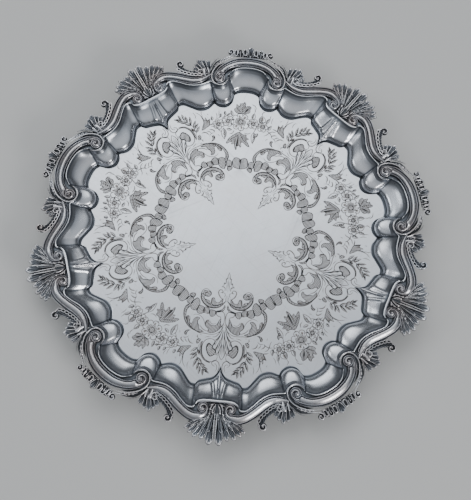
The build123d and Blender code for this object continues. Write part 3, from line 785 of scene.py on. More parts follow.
# Cuts run along points given as x and y from the shell's axis. These are cut again as their mirror image
# on the other side of the axis.
drawing = {
    "bold": [
        [(4.0, 91.4), (5.6, 91.5), (7.0, 92.6), (8.1, 93.3), (9.6, 92.2), (11.0, 89.8), (11.7, 87.2),
         (11.4, 84.9), (10.2, 83.5), (9.0, 84.2), (7.8, 85.2)],
        [(0.6, 67.8), (1.8, 70.2), (3.1, 71.8)],
        [(0.9, 51.4), (2.6, 53.9), (5.6, 56.2), (9.4, 57.1), (13.4, 56.5), (16.9, 54.2), (19.2, 50.6),
         (19.5, 46.8), (18.2, 43.9), (15.9, 42.9), (14.2, 43.6)],
        [(3.2, 50.0), (4.8, 48.8), (6.2, 46.8), (6.8, 44.6), (5.9, 42.9), (4.4, 42.7)],
        [(21.8, 85.0), (23.8, 84.6), (25.2, 83.2), (25.9, 81.0)],
        [(28.6, 84.6), (30.2, 83.6), (31.4, 81.8), (30.4, 80.7)], [(29.8, 87.8), (32.4, 87.7), (34.4, 87.0)],
        [(4.7, 89.2), (4.8, 88.3), (5.9, 87.9), (6.9, 87.2), (7.2, 86.0)],
        [(18.4, 80.7), (19.4, 79.6), (19.0, 78.2)], [(2.0, 41.6), (3.2, 40.4), (4.6, 40.2)],
    ],
    "line": [
        # small scroll below the cusp
        [(2.4, 104.4), (1.3, 102.0), (1.1, 99.2), (1.9, 97.1), (4.1, 95.8), (6.2, 96.6), (6.8, 98.3),
         (5.6, 99.8), (4.2, 100.1)],
        # ear-shaped scroll
        [(3.2, 92.4), (3.3, 94.6), (4.6, 96.2), (7.0, 97.1), (9.6, 97.0), (12.2, 95.6), (14.1, 93.0),
         (15.0, 89.6), (15.0, 86.0), (14.0, 83.0), (12.0, 81.0), (9.2, 80.2), (6.8, 80.9), (5.6, 82.6),
         (6.2, 84.5), (7.8, 85.2)],
        [(3.2, 92.4), (3.3, 91.7), (4.0, 91.4)],
        # petals of the leaf fan
        [(0.0, 95.2), (1.3, 93.4), (2.2, 90.9), (2.0, 88.0), (1.2, 84.5)],
        [(2.4, 88.4), (3.0, 90.6), (4.2, 90.7), (4.7, 89.2), (4.4, 86.6), (3.2, 83.5), (2.0, 80.5)],
        [(4.6, 86.3), (5.6, 87.7), (6.9, 87.2), (7.2, 85.4), (6.0, 82.6), (4.0, 79.6), (2.4, 77.0)],
        [(6.4, 80.8), (5.0, 80.6), (3.4, 78.6), (2.0, 75.8), (1.0, 72.4)],
        [(8.0, 78.8), (6.0, 78.6), (4.2, 76.8), (2.6, 74.2), (0.8, 69.6)],
        # great scroll and its curled end
        [(0.6, 70.6), (2.2, 73.4), (4.6, 75.6), (7.4, 76.8), (11.0, 77.0), (14.5, 76.6), (18.2, 76.6),
         (21.0, 75.3), (24.4, 74.0), (27.4, 71.6), (29.6, 68.4), (30.8, 64.8), (31.1, 61.2), (30.2, 57.8),
         (28.2, 55.9), (26.9, 55.7), (26.3, 56.8), (27.4, 57.7), (29.0, 60.2), (29.4, 63.4), (28.8, 66.8),
         (27.3, 69.9), (25.0, 72.2)],
        [(0.6, 67.8), (0.35, 65.0), (0.5, 62.0), (1.7, 59.8), (3.8, 58.9), (5.9, 59.2), (6.9, 60.6),
         (6.5, 62.2), (5.2, 63.1), (3.5, 63.5), (3.1, 65.2), (3.2, 67.0)],
        [(12.2, 74.8), (13.8, 74.6), (16.4, 73.2), (18.2, 70.8)],
        # inner scroll
        [(14.2, 43.6), (12.4, 45.1), (12.0, 47.0), (13.4, 48.6), (15.4, 48.6), (16.6, 47.2), (16.2, 45.8),
         (15.0, 45.6), (14.2, 46.6)],
        [(4.4, 42.7), (3.3, 44.0), (4.0, 45.2), (5.2, 44.9)],
        # drop below the scrolls
        [(2.2, 43.6), (2.0, 41.6)],
        [(4.6, 40.2), (3.4, 39.4), (3.1, 37.0), (2.4, 38.4), (1.8, 36.2), (1.9, 33.4), (1.1, 34.6),
         (0.8, 31.8), (0.1, 29.0)],
        # curls beside the laurel
        [(26.0, 84.4), (27.4, 83.4), (28.2, 81.4)],
        [(31.0, 86.4), (33.6, 84.8), (34.6, 82.2), (35.2, 79.4), (36.0, 78.2)],
    ],
    "fine": [
        [(3.6, 104.0), (2.7, 101.8), (2.9, 99.7), (4.1, 98.3), (5.3, 98.6)], [(0.0, 92.6), (0.0, 84.0)],
        [(3.4, 88.8), (2.6, 84.8), (1.2, 79.5), (0.5, 73.0)],
        [(5.8, 85.8), (4.6, 82.4), (2.8, 78.4), (1.2, 73.6)], [(1.1, 88.5), (0.8, 82.0), (0.4, 74.0)],
        [(1.0, 91.6), (0.9, 87.6), (0.6, 83.4)], [(4.0, 88.2), (3.6, 85.2), (2.2, 80.2)],
        [(5.2, 84.0), (3.8, 80.4), (2.0, 75.4)], [(2.6, 86.4), (1.8, 82.2), (0.8, 76.4)],
        [(6.6, 84.8), (5.4, 81.8), (4.4, 80.0)],
        [(14.4, 70.2), (16.0, 66.4), (18.5, 63.8), (21.8, 63.0), (24.4, 64.0)],
        [(6.5, 68.5), (8.5, 69.3), (10.5, 68.4), (11.5, 66.0)],
        [(1.6, 51.9), (3.6, 53.6), (6.4, 54.9), (9.0, 55.2), (12.4, 54.6), (15.2, 52.6), (17.2, 49.6),
         (17.6, 47.0)],
        [(2.4, 48.4), (1.4, 47.0), (1.8, 45.4), (3.2, 44.6)], [(0.4, 51.8), (0.9, 49.5), (0.3, 47.0)],
        [(0.0, 44.0), (0.0, 32.0)], [(1.0, 43.0), (0.9, 36.0)],
        [(15.4, 82.6), (17.0, 84.6), (18.0, 88.0), (18.4, 92.0), (17.6, 96.0), (15.2, 100.0), (11.6, 103.4)],
        [(28.8, 96.0), (28.0, 99.4), (26.2, 102.6)], [(29.4, 97.0), (29.6, 100.0), (30.8, 101.6)],
        [(32.3, 78.0), (32.7, 75.8)], [(16.0, 78.0), (17.6, 77.9)], [(9.4, 78.4), (11.6, 78.8), (13.6, 79.8)],
        [(33.6, 97.4), (34.0, 95.8)], [(8.4, 106.0), (10.2, 104.6), (12.4, 104.0)],
        [(23.8, 98.0), (24.6, 101.0), (24.2, 103.6)], [(38.0, 89.8), (39.6, 91.8), (40.4, 94.6)],
        [(40.4, 91.0), (42.2, 92.8), (43.0, 95.0)], [(25.6, 79.4), (27.2, 81.0), (29.8, 80.8)],
    ],
    "leaf": [
        ((18.3, 87.6), (23.0, 91.0), 0.8), ((18.5, 92.2), (22.6, 96.8), 0.85),
        ((17.9, 95.4), (20.2, 102.0), 0.75), ((16.4, 98.4), (17.4, 104.0), 0.65),
        ((17.8, 94.8), (13.8, 98.4), 0.7), ((16.0, 98.8), (11.2, 100.6), 0.7),
        ((14.0, 101.4), (9.2, 102.9), 0.7), ((18.0, 88.6), (16.4, 92.8), 0.6),
        ((12.9, 102.6), (8.2, 105.6), 0.7), ((13.2, 102.8), (12.6, 107.6), 0.7),
        ((15.2, 101.0), (15.6, 106.8), 0.75), ((18.6, 91.0), (23.4, 93.6), 0.7),
    ],    # root, tip, half width
    # bodies filled with fine parallel cuts: the lean of the cuts in degrees, then the outline
    "body": [
        (62, [(8.1, 93.2), (9.8, 91.8), (11.1, 89.2), (11.5, 86.6), (10.9, 84.6), (10.1, 83.8), (8.8, 84.8),
             (7.2, 85.2), (7.3, 86.4), (6.6, 87.4), (5.2, 87.9), (4.7, 89.0), (5.0, 91.2), (6.9, 92.4)]),
        (20, [(8.0, 98.0), (11.2, 97.2), (14.0, 94.9), (15.9, 91.6), (16.6, 88.0), (16.2, 84.6),
             (15.0, 82.4), (15.4, 85.0), (15.6, 88.4), (14.8, 92.0), (12.9, 94.9), (10.4, 96.9)]),
        (40, [(24.4, 74.0), (27.4, 71.6), (29.6, 68.4), (30.8, 64.8), (31.1, 61.2), (30.2, 57.8),
             (28.2, 55.9), (27.4, 57.7), (29.0, 60.2), (29.4, 63.4), (28.8, 66.8), (27.3, 69.9),
             (25.0, 72.2)]),
        (75, [(2.6, 70.4), (4.4, 73.4), (7.4, 75.4), (10.8, 75.9), (12.2, 74.8), (11.6, 73.2), (13.4, 71.8),
             (14.6, 70.0), (14.2, 67.9), (12.8, 66.2), (11.8, 67.2), (11.4, 69.2), (9.4, 70.2), (6.6, 70.1),
             (5.2, 68.4), (4.4, 66.4), (3.2, 64.6), (3.1, 67.4)]),
        (105, [(15.2, 75.4), (18.6, 73.6), (18.9, 71.0), (20.0, 69.6), (20.1, 67.2), (18.5, 65.6),
             (20.6, 64.9), (22.6, 66.0), (23.6, 68.0), (24.0, 69.8), (25.2, 70.4), (26.2, 69.0),
             (25.9, 66.9), (26.6, 65.0), (28.2, 64.4), (28.6, 66.6), (27.3, 69.9), (25.0, 72.6),
             (21.6, 74.8), (18.4, 76.0)]),
        (10, [(1.2, 54.2), (2.2, 56.8), (4.0, 58.4), (7.0, 59.2), (7.3, 60.0), (4.6, 59.8), (2.4, 58.9),
             (0.7, 56.6)]),
        (95, [(6.9, 59.7), (7.6, 61.9), (8.7, 63.2), (10.4, 63.9), (11.6, 62.8), (12.1, 61.0), (12.3, 58.7),
             (9.6, 58.6)]),
        (80, [(12.2, 60.5), (13.2, 62.2), (14.4, 61.3), (15.8, 61.3), (16.7, 60.7), (16.2, 57.3),
             (13.7, 56.9), (12.0, 58.5)]),
        (70, [(16.3, 61.2), (18.6, 62.3), (20.4, 62.2), (21.7, 60.5), (21.5, 58.3), (19.7, 55.8),
             (17.4, 56.7), (15.9, 57.4)]),
        (40, [(21.0, 59.0), (22.8, 60.2), (24.9, 59.7), (26.4, 58.4), (26.4, 55.4), (24.7, 52.6),
             (22.1, 50.4), (20.3, 51.9), (19.7, 54.5)]),
        (55, [(25.8, 54.7), (28.1, 55.3), (29.6, 54.3), (29.9, 52.2), (28.5, 49.8), (26.2, 49.5),
             (24.8, 51.2)]),
        (60, [(23.6, 48.6), (25.1, 50.7), (27.4, 49.9), (27.9, 47.9), (25.9, 47.1), (23.6, 47.4)]),
        (50, [(28.6, 48.9), (30.2, 52.2), (32.1, 53.7), (33.9, 54.3), (35.7, 52.9), (36.8, 50.3),
             (34.8, 47.6), (32.4, 44.3), (30.6, 45.6)]),
        (70, [(0.9, 51.4), (2.6, 53.9), (5.6, 56.2), (9.4, 57.1), (13.4, 56.5), (16.9, 54.2), (19.2, 50.6),
             (19.5, 46.8), (17.6, 47.0), (17.2, 49.6), (15.2, 52.6), (12.4, 54.6), (9.0, 55.2), (6.4, 54.9),
             (3.6, 53.6)]),
        (30, [(12.4, 45.6), (12.2, 47.4), (13.6, 48.8), (15.6, 48.8), (17.2, 48.0), (18.2, 46.0),
             (17.2, 44.2), (15.0, 44.6), (13.6, 44.4)]),
        (85, [(3.6, 53.2), (6.2, 54.6), (9.2, 55.0), (11.4, 54.0), (11.6, 51.6), (11.2, 49.8), (10.2, 49.0),
             (9.0, 49.9), (8.9, 51.6), (7.4, 52.8), (5.4, 52.4), (4.2, 50.6), (3.0, 49.8), (3.0, 51.6)]),
        (100, [(11.9, 54.2), (14.4, 53.4), (16.2, 51.2), (15.4, 50.6), (14.4, 51.6), (13.2, 51.6),
             (12.6, 52.6)]),
        (65, [(23.2, 86.9), (25.4, 89.8), (27.6, 92.0), (28.5, 97.8), (29.2, 92.6), (30.8, 95.6),
             (30.9, 91.6), (33.0, 92.8), (31.6, 89.6), (30.0, 87.7), (26.6, 87.2)]),
        (35, [(17.0, 82.0), (17.6, 83.8), (19.2, 84.8), (19.6, 83.0), (19.2, 81.6), (18.2, 80.9),
             (16.2, 81.6)]),
        (60, [(25.0, 75.2), (27.0, 76.4), (27.7, 79.2), (29.2, 78.2), (28.8, 76.4), (26.8, 75.2)]),
    ],
}
# the bouquet between two shells, drawn once in each sector
bouquet = {
    "flower": [
        ((37.0, 85.2), 4.5, 6, 1.5), ((45.0, 83.6), 4.7, 6, 1.6), ((53.2, 78.0), 7.5, 8, 2.1),
        ((61.0, 71.4), 4.4, 6, 1.5), ((66.0, 65.6), 4.5, 6, 1.7),
    ],    # centre, radius, petals, radius of the heart
    "leaf": [
        ((38.8, 80.4), (34.6, 71.8), 1.9), ((40.6, 78.6), (43.8, 75.6), 0.9),
        ((62.6, 74.6), (66.6, 78.6), 1.4), ((67.4, 67.8), (70.8, 73.8), 2.6),
        ((57.8, 65.2), (51.6, 57.4), 1.5), ((60.0, 62.6), (55.6, 60.8), 0.9),
        ((50.4, 85.6), (51.8, 90.4), 0.9), ((41.6, 89.4), (43.4, 92.2), 0.8),
        ((45.8, 89.2), (47.2, 92.4), 0.8), ((34.4, 90.4), (35.8, 93.6), 0.9),
        ((70.4, 66.4), (74.6, 68.6), 0.9), ((68.2, 60.8), (72.8, 62.8), 1.0),
        ((47.0, 88.0), (49.8, 88.6), 0.7),
    ],
    "body": [
        (50, [(48.0, 70.8), (44.0, 71.4), (40.0, 71.0), (37.0, 70.2), (33.8, 67.8), (36.4, 67.6),
             (39.0, 67.2), (36.9, 65.2), (39.8, 65.0), (38.4, 62.8), (37.7, 59.2), (39.6, 61.0),
             (41.5, 62.2), (42.0, 59.2), (43.6, 61.4), (44.9, 63.2), (46.0, 61.4), (46.6, 58.8),
             (47.8, 56.2), (48.9, 59.6), (48.8, 62.4), (51.4, 61.8), (50.2, 64.4), (51.6, 66.2),
             (49.4, 67.4)]),
        (20, [(57.6, 83.6), (55.6, 84.8), (54.2, 87.6), (54.9, 90.4), (56.4, 89.9), (58.5, 92.6),
             (59.5, 89.2), (61.2, 91.6), (63.1, 90.4), (65.2, 91.0), (64.4, 88.4), (62.8, 86.7),
             (65.4, 86.6), (67.2, 84.4), (65.2, 83.2), (64.0, 81.2), (61.2, 81.4), (59.2, 82.4)]),
    ],
    "line": [
        [(47.6, 70.2), (44.4, 67.0), (39.6, 61.6)], [(46.2, 69.4), (41.4, 69.4), (37.2, 69.2)],
        [(47.9, 69.6), (47.2, 65.2), (47.7, 59.6)], [(58.0, 83.6), (57.2, 87.0), (56.9, 90.2)],
        [(58.4, 83.6), (60.4, 86.6), (62.8, 89.6)], [(58.8, 83.0), (62.0, 83.9), (65.6, 84.6)],
        [(48.6, 70.8), (49.6, 72.4)], [(57.6, 65.0), (60.0, 66.4), (62.0, 66.6)],
        [(42.4, 91.8), (40.6, 89.6), (38.8, 89.8)], [(46.4, 90.6), (44.6, 88.6), (41.6, 88.0)],
        [(67.0, 61.4), (68.4, 58.0), (68.0, 54.4)], [(66.8, 78.8), (68.6, 80.4), (69.2, 82.6)],
        [(40.4, 73.6), (42.8, 73.0), (45.0, 74.4)], [(71.0, 74.0), (72.4, 75.6), (74.6, 75.4)],
        [(50.8, 68.4), (52.8, 66.2), (55.4, 66.0)], [(69.0, 86.2), (70.4, 83.4), (69.8, 80.8)],
    ],
}


def insideOf(points, outline):
    x, y = points[:, 0, None], points[:, 1, None]
    a, b = outline, np.roll(outline, -1, 0)
    crossing = (a[None, :, 1] > y) != (b[None, :, 1] > y)
    rise = np.where(np.abs(b[:, 1] - a[:, 1]) < 1e-12, 1e-12, b[:, 1] - a[:, 1])
    reach = a[None, :, 0] + (y - a[None, :, 1]) * (b[:, 0] - a[:, 0])[None] / rise[None]
    return (crossing & (x < reach)).sum(1) % 2 == 1


class Graver:
    # gathers cuts: a line, its half width at every point, which rails are drawn (-1 and 1 are its edges),
    # whether its ends are pointed, and whether it is a cut or the ridge between two
    def __init__(self):
        self.cuts = []

    def cut(self, points, width, closed=False, taper=0.35):
        points = np.asarray(points, float)
        length = np.linalg.norm(np.diff(points, axis=0), axis=1).sum()
        count = max(3, int(length / engraver["step"]) + 1)
        if len(points) > 2:
            line = through(points, count, closed)
        else:
            line = np.linspace(points[0], points[1], 3 if length > 1.2 else 2)
        s = np.linspace(0, 1, len(line))
        swell = np.ones(len(line)) if closed else taper + (1 - taper) * np.sin(math.pi * s) ** 0.5
        self.cuts.append((line, width / 2 * swell, (-1, 0, 1), not closed, True))

    def shade(self, outline, lean):
        # parallel cuts clipped to an outline, with a ridge between each pair
        outline = through(outline, 60, closed=True)
        pitch = engraver["hatch"]
        turned = turnAbout(outline, -lean)
        low, high = turned.min(0), turned.max(0)
        for k, level in enumerate(np.arange(low[1] + pitch / 4, high[1], pitch / 2)):
            x = np.arange(low[0], high[0], 0.16)
            row = np.column_stack([x, np.full(len(x), level)])
            inside = np.concatenate([[False], insideOf(row, turned), [False]])
            starts = np.flatnonzero(inside[1:] & ~inside[:-1])
            ends = np.flatnonzero(~inside[1:] & inside[:-1]) - 1
            for i, j in zip(starts, ends):
                if x[j] - x[i] > 0.55:
                    line = turnAbout(np.array([[x[i] + 0.15, level], [x[j] - 0.15, level]]), lean)
                    self.cuts.append((line, np.full(2, pitch / 2), (0,), False, k % 2 == 1))

    def body(self, lean, outline):
        self.cut(outline, engraver["fine"], closed=True)
        self.shade(outline, lean)

    def leaf(self, root, tip, half):
        root, tip = np.array(root, float), np.array(tip, float)
        run = tip - root
        side = np.array([-run[1], run[0]]) / np.linalg.norm(run)
        edges = []
        for way in (half, -half):
            edges.append([root, root + run * 0.3 + side * way, root + run * 0.65 + side * 0.85 * way, tip])
            self.cut(edges[-1], engraver["line"] * 0.85)
        self.shade([*edges[0], root + run * 0.5], math.degrees(math.atan2(run[1], run[0])) + 35)
        self.cut([root, root + run * 0.45 + side * half * 0.1, root + run * 0.8], engraver["fine"])

    def flower(self, centre, radius, petals, heart):
        centre = np.array(centre, float)
        lean = 2 * math.pi / petals

        def spot(a, r):
            return centre + r * np.array([math.cos(a), math.sin(a)])

        for k in range(petals):
            a = k * lean + 0.3
            # from notch to notch round the petal's tip
            tip = [spot(a + turn * lean, radius * share) for turn, share in engraver["petal"]]
            self.cut(tip, engraver["line"] * 0.9, taper=0.6)
        hollow = [spot(a + 0.3, radius * (0.56 + 0.1 * math.cos(petals * a)))
                  for a in np.linspace(0, 2 * math.pi, 4 * petals + 1)[:-1]]
        self.shade(hollow, 40)
        self.cut([spot(a, heart) for a in np.linspace(0, 2 * math.pi, 9)[:-1]], engraver["line"], closed=True)


def engrave(graver, drawn):
    # a list is named after the width of its cuts, or after the graver's method that draws its figures
    for kind, items in drawn.items():
        for item in items:
            if kind in engraver:
                graver.cut(item, engraver[kind])
            else:
                getattr(graver, kind)(*item)


def engraveSector():
    graver = Graver()
    engrave(graver, drawing)
    graver.cuts += [(line * mirror, *rest) for line, *rest in graver.cuts]
    engrave(graver, bouquet)
    return graver.cuts


def pastEnd(line, half, end, before):
    # a point past the line's end, as far as the cut is wide there
    run = line[end] - line[before]
    return line[end] + run / max(np.linalg.norm(run), 1e-6) * half[end]


def layCuts(spots, edges):
    # adds the rails of every cut in every sector, and hands back points along the cuts with their half widths
    samples, halves = [], []
    sectorCuts = engraveSector()
    for k in range(salver["repeats"]):
        for line, half, rails, pointed, cutIn in sectorCuts:
            placed = turnAbout(line, 180 + k * sector) * engraver["scale"]
            side = sidesOf(placed)
            for way in rails:
                rail = placed + side * (half * way)[:, None]
                if pointed:
                    # the rails meet past each end, so that no wide face slopes into a cut
                    rail = np.vstack([pastEnd(placed, half, 0, 1), rail, pastEnd(placed, half, -1, -2)])
                start = len(spots)
                spots += [tuple(p) for p in rail]
                edges += [(i, i + 1) for i in range(start, len(spots) - 1)]
            if cutIn:
                length = np.concatenate([[0], np.cumsum(np.linalg.norm(np.diff(placed, axis=0), axis=1))])
                dense = np.linspace(0, length[-1], max(2, int(length[-1] / engraver["sample"])))
                samples.append(np.column_stack([np.interp(dense, length, placed[:, i]) for i in (0, 1)]))
                halves.append(np.interp(dense, length, half))
    return np.vstack(samples), np.concatenate(halves)


def depthsAt(flat, samples, halves):
    # 1 in the bed of a groove, 0 outside every groove
    near = KDTree(len(samples))
    for i, (x, y) in enumerate(samples):
        near.insert((x, y, 0), i)
    near.balance()
    deep = np.zeros(len(flat))
    for i, (x, y) in enumerate(flat):
        for spot, j, away in near.find_n((x, y, 0), 3):
            deep[i] = max(deep[i], 1 - away / halves[j])
    return np.where(deep < 0.14, 0, np.minimum(deep * 1.6, 1))


def engraveFloor(outline):
    # flat corners and faces of the floor with every groove cut in, and how deep each corner lies
    spots, edges = [tuple(p) for p in outline], []
    samples, halves = layCuts(spots, edges)
    found = delaunay_2d_cdt([Vector(p) for p in spots], edges, [list(range(len(outline)))], 1, 1e-4, False)
    faces, flat = np.array([tuple(face) for face in found[2]]), np.array([tuple(p) for p in found[0]])
    # the filled bays between the lobes go
    middles = flat[faces].mean(1)
    far = np.flatnonzero(np.linalg.norm(middles, axis=1) > np.linalg.norm(outline, axis=1).min() - 1)
    keep = np.ones(len(faces), bool)
    for part in np.array_split(far, max(1, len(far) // 4000)):
        keep[part] = insideOf(middles[part], outline)
    used, faces = np.unique(faces[keep], return_inverse=True)
    flat = flat[used]
    return flat, faces.reshape(-1, 3), depthsAt(flat, samples, halves)


traySizes = {
    "columns": [44, 26, 24, 24], "rows": 38,    # across each lobe, and up the wall
    "puff": [1.2, 1.6, 3.4, 0.9],    # how far each lobe swells
    "lip": [2.3, 1.3, 1.3, 1.3], "lipHeight": 1.7, "crease": 2.1, "creaseDepth": 0.55,
    "floorSheet": 1.4,
    "ribs": [(0.0, 0.9, 1.2), (5.6, 1.25, 0.9)],    # above the cusp: place across, width, height
    # angle from the shell's axis, and distance outside the rim circle; one lobe of the well to a list
    "floorLobes": [
        [(0, -29.8), (0.9, -25.4), (2.3, -22.2), (5.2, -19.8), (7.6, -17.7), (8.6, -14.5)],
        [(8.6, -14.5), (10.4, -14.7), (13.2, -18.9), (16.0, -22.7), (19.6, -23.1), (23.0, -18.9)],
        [(23.0, -18.9), (24.6, -21.7), (27.6, -22.7), (30.2, -19.2), (31.3, -12.0)],
        [(31.3, -12.0), (33.2, -10.4), (36.0, -9.9)],
    ],
    "rimLobes": [
        [(0, -6.7), (3.4, -6.5), (5.6, -5.5), (6.7, -3.6), (7.0, -1.2), (7.6, 0.2)],
        [(7.6, 0.2), (9.0, 0.5), (11.3, -2.4), (14.0, -6.3), (17.6, -8.5), (22.4, -6.8)],
        [(22.4, -6.8), (24.2, -9.8), (26.6, -10.2), (28.2, -7.4), (28.9, -2.4)],
        [(28.9, -2.4), (31.4, 2.3), (36.0, 3.9)],
    ],
    "flangeEdge": [
        (0, 7.0), (3.4, 8.0), (6.3, 9.4), (8.6, 9.0), (10.9, 6.9), (13.3, 3.3), (15.4, 0.8), (17.7, -0.6),
        (19.8, 1.8), (21.6, 3.6), (23.4, 3.8), (24.9, 6.4), (27.6, 9.2), (29.8, 10.2), (32.0, 11.0),
        (36.0, 11.8),
    ],
    # how far out across the wall, and how far up
    "wallRise": [
        (0.0, 0.0), (0.012, 0.07), (0.035, 0.14), (0.08, 0.22), (0.15, 0.295), (0.24, 0.35), (0.34, 0.395),
        (0.44, 0.445), (0.54, 0.51), (0.63, 0.58), (0.71, 0.655), (0.78, 0.73), (0.84, 0.8), (0.895, 0.865),
        (0.94, 0.92), (0.975, 0.965), (1.0, 1.0),
    ],
    # part of the crease's width, part of its depth, tarnish with painted shade
    "creaseRows": [(1, 0, 0.0), (0.86, 0.12, 0.12), (0.7, 0.4, 0.34), (0.52, 0.8, 0.52), (0.34, 1.0, 0.62),
                   (0.12, 1.0, 0.68)],
    # part of the lip's width, height over its top, tarnish with painted shade where it turns under
    "lipRows": [(0.12, 0.28, 0.0), (0.35, 0.42, 0.0), (0.6, 0.34, 0.0), (0.8, 0.05, 0.1), (0.93, -0.7, 0.45)],
}


def wallLines():
    # matched points at the floor and the rim, with their lobe and the place in it
    t = traySizes
    low, high, lobe, along = [], [], [], []
    for k, (n, *lines) in enumerate(zip(t["columns"], t["floorLobes"], t["rimLobes"])):
        # the middle lobe is drawn to its middle only, so its line is mirrored to keep it level there
        last = k == len(t["columns"]) - 1
        count = n + 1 if last else n
        for line, rows in zip(lines, (low, high)):
            if last:
                line = line + [(sector - p, q) for p, q in line[-2::-1]]
            rows.append(through([rimPoint(*p) for p in line], 2 * n + 1 if last else n + 1)[:count])
        lobe += [k] * count
        along.append(np.linspace(0, 0.5 if last else 1, n + 1)[:count])
    return np.vstack(low), np.vstack(high), np.array(lobe), np.concatenate(along)


def halfTray():
    # half of one sector: rows from the well's edge over the rim to the flange's edge and back underneath
    t = traySizes
    low, high, lobe, along = wallLines()
    bearing = np.degrees(np.arctan2(high[:, 0], high[:, 1]))
    edge = through([rimPoint(*p) for p in t["flangeEdge"]], 200)
    edgeBearing = np.degrees(np.arctan2(edge[:, 0], edge[:, 1]))
    edgeRadius = np.interp(bearing, edgeBearing, np.linalg.norm(edge, axis=1))
    outside = edgeRadius[:, None] * np.stack([np.sin(np.radians(bearing)), np.cos(np.radians(bearing))], 1)
    inward = -low / np.linalg.norm(low, axis=1, keepdims=True)
    lip = np.array(t["lip"])[lobe]
    lip = np.convolve(np.pad(lip, 3, "edge"), np.ones(7) / 7, "valid")[:, None]
    swell = np.array(t["puff"])[lobe] * np.sqrt(np.clip(np.sin(math.pi * along), 0, 1))
    valley = np.clip(np.sin(math.pi * along) * 9, 0, 1) ** 0.7
    valley = np.where((lobe == 0) & (along < 0.5), 1, valley)
    top = flangeTop + t["lipHeight"]
    deep, thick = t["creaseDepth"], salver["sheet"]
    creased = low + inward * t["crease"]
    rows, dark = [], []

    def row(flat, z, tone):
        rows.append(np.column_stack([flat, np.broadcast_to(z, len(low))]))
        dark.append(np.broadcast_to(np.clip(tone, 0, 1), len(low)))

    def bulge(u):
        # how far the wall swells out, part of the way across it
        return swell * (math.sin(math.pi * min(1, u * 1.25)) if u < 0.8 else 0.0)

    for inset, drop, tone in t["creaseRows"]:
        row(low + inward * t["crease"] * inset, floorTop - deep * drop, tone)
    for u, w in through(t["wallRise"], t["rows"]):
        flat = low + (high - low) * u
        level = floorTop - deep * 0.6 * (1 - min(1, w * 8)) + (top - floorTop) * w
        # a keel runs up the wall from the cusp, and the rib on each side of it draws in towards the rim
        ribs = np.zeros(len(low))
        for middle, wide, tall in t["ribs"]:
            ribs += tall * np.exp(-((flat[:, 0] - middle * (1 - 0.55 * u)) / (wide * (1 - 0.3 * u))) ** 2)
        ribs *= np.clip(u / 0.08, 0, 1) * np.clip((0.96 - u) / 0.2, 0, 1)
        # tarnish with painted shade: darker in the creases between the lobes, at the foot by the floor,
        # towards the rim and just under the lip, and lighter on the ribs
        tone = 0.17 + (1 - valley) * 0.42 + 0.4 * np.exp(-(u / 0.03)) + 0.2 * np.clip((u - 0.45) / 0.3, 0, 1)
        tone = tone + 0.3 * np.exp(-((u - 0.98) / 0.05) ** 2) - 0.12 * ribs
        row(flat + inward * (bulge(u) * 0.45)[:, None], level + bulge(u) * 0.55 + ribs, tone)
    out = (outside - high) / np.linalg.norm(outside - high, axis=1, keepdims=True)
    # the bead at the lip, the flange, and the underside; the lip's foot, the flange, its edge and the
    # underside are darkened as painted shade
    for step, rise, tone in t["lipRows"]:
        row(high + out * lip * step, top + rise, tone)
    row(high + out * lip, flangeTop + 0.1, 0.7)
    row(outside * 0.3 + high * 0.7 + out * lip * 0.7, flangeTop, 0.55)
    row(outside, flangeTop, 0.8)
    row(outside + out * 0.3, flangeTop - 0.4, 0.4)
    row(outside, flangeTop - 0.8, 0.3)
    row(high + out * 3.0, flangeTop - 0.9, 0.35)
    for u, w in t["wallRise"][::-1]:
        flat = low + (high - low) * u
        level = floorTop + (flangeTop - 0.6 - floorTop) * w
        row(flat + inward * (bulge(u) * 0.45 - thick)[:, None], level + bulge(u) * 0.55 - thick,
            0.3 + (1 - valley) * 0.4)
    row(creased, floorTop - thick, 0.15)
    row(creased, floorTop, 0.15)
    return np.array(rows), np.array(dark), creased


def finishTray(piece, sharp, smooth=None):
    # into metres, faces outwards, and onto the frame
    mesh = piece.data
    mesh.transform(Matrix.Scale(mm, 4))
    work = bmesh.new()
    work.from_mesh(mesh)
    bmesh.ops.recalc_face_normals(work, faces=work.faces)
    loose = sum(not edge.is_manifold for edge in work.edges)
    work.to_mesh(mesh)
    work.free()
    mesh.set_sharp_from_angle(angle=math.radians(sharp))
    mesh.polygons.foreach_set("use_smooth", smooth or [True] * len(mesh.polygons))
    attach(piece, "root")
    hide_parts("tray_plate")
    print(piece.name, "open edges", loose, "faces", len(mesh.polygons))


def makeWall():
    # hands back the floor's outline
    rows, dark, border = halfTray()
    both = np.concatenate([(rows * [-1, 1, 1])[:, :0:-1], rows], 1)
    tone = np.concatenate([dark[:, :0:-1], dark], 1)
    n, k = both.shape[:2]
    i, j = np.meshgrid(np.arange(n - 1), np.arange(k - 1), indexing="ij")
    a = i * k + j
    faces = np.stack([a, a + 1, a + 1 + k, a + k], -1).reshape(-1, 4)
    mesh = meshWithTarnishAndShade("wallSector", both.reshape(-1, 3), faces.tolist(), tone.ravel())
    mesh = grown(ringTree(), place("wallSector", mesh),
                 {"Count": salver["repeats"], "Start": math.pi, "Weld": 0.003, "Silver": wallSilver})
    finishTray(place("trayWall", mesh), 50)
    edge = np.vstack([(border * mirror)[:0:-1], border])[::-1]
    return np.vstack([turnAbout(edge, 180 + k * sector)[:-1] for k in range(salver["repeats"])])


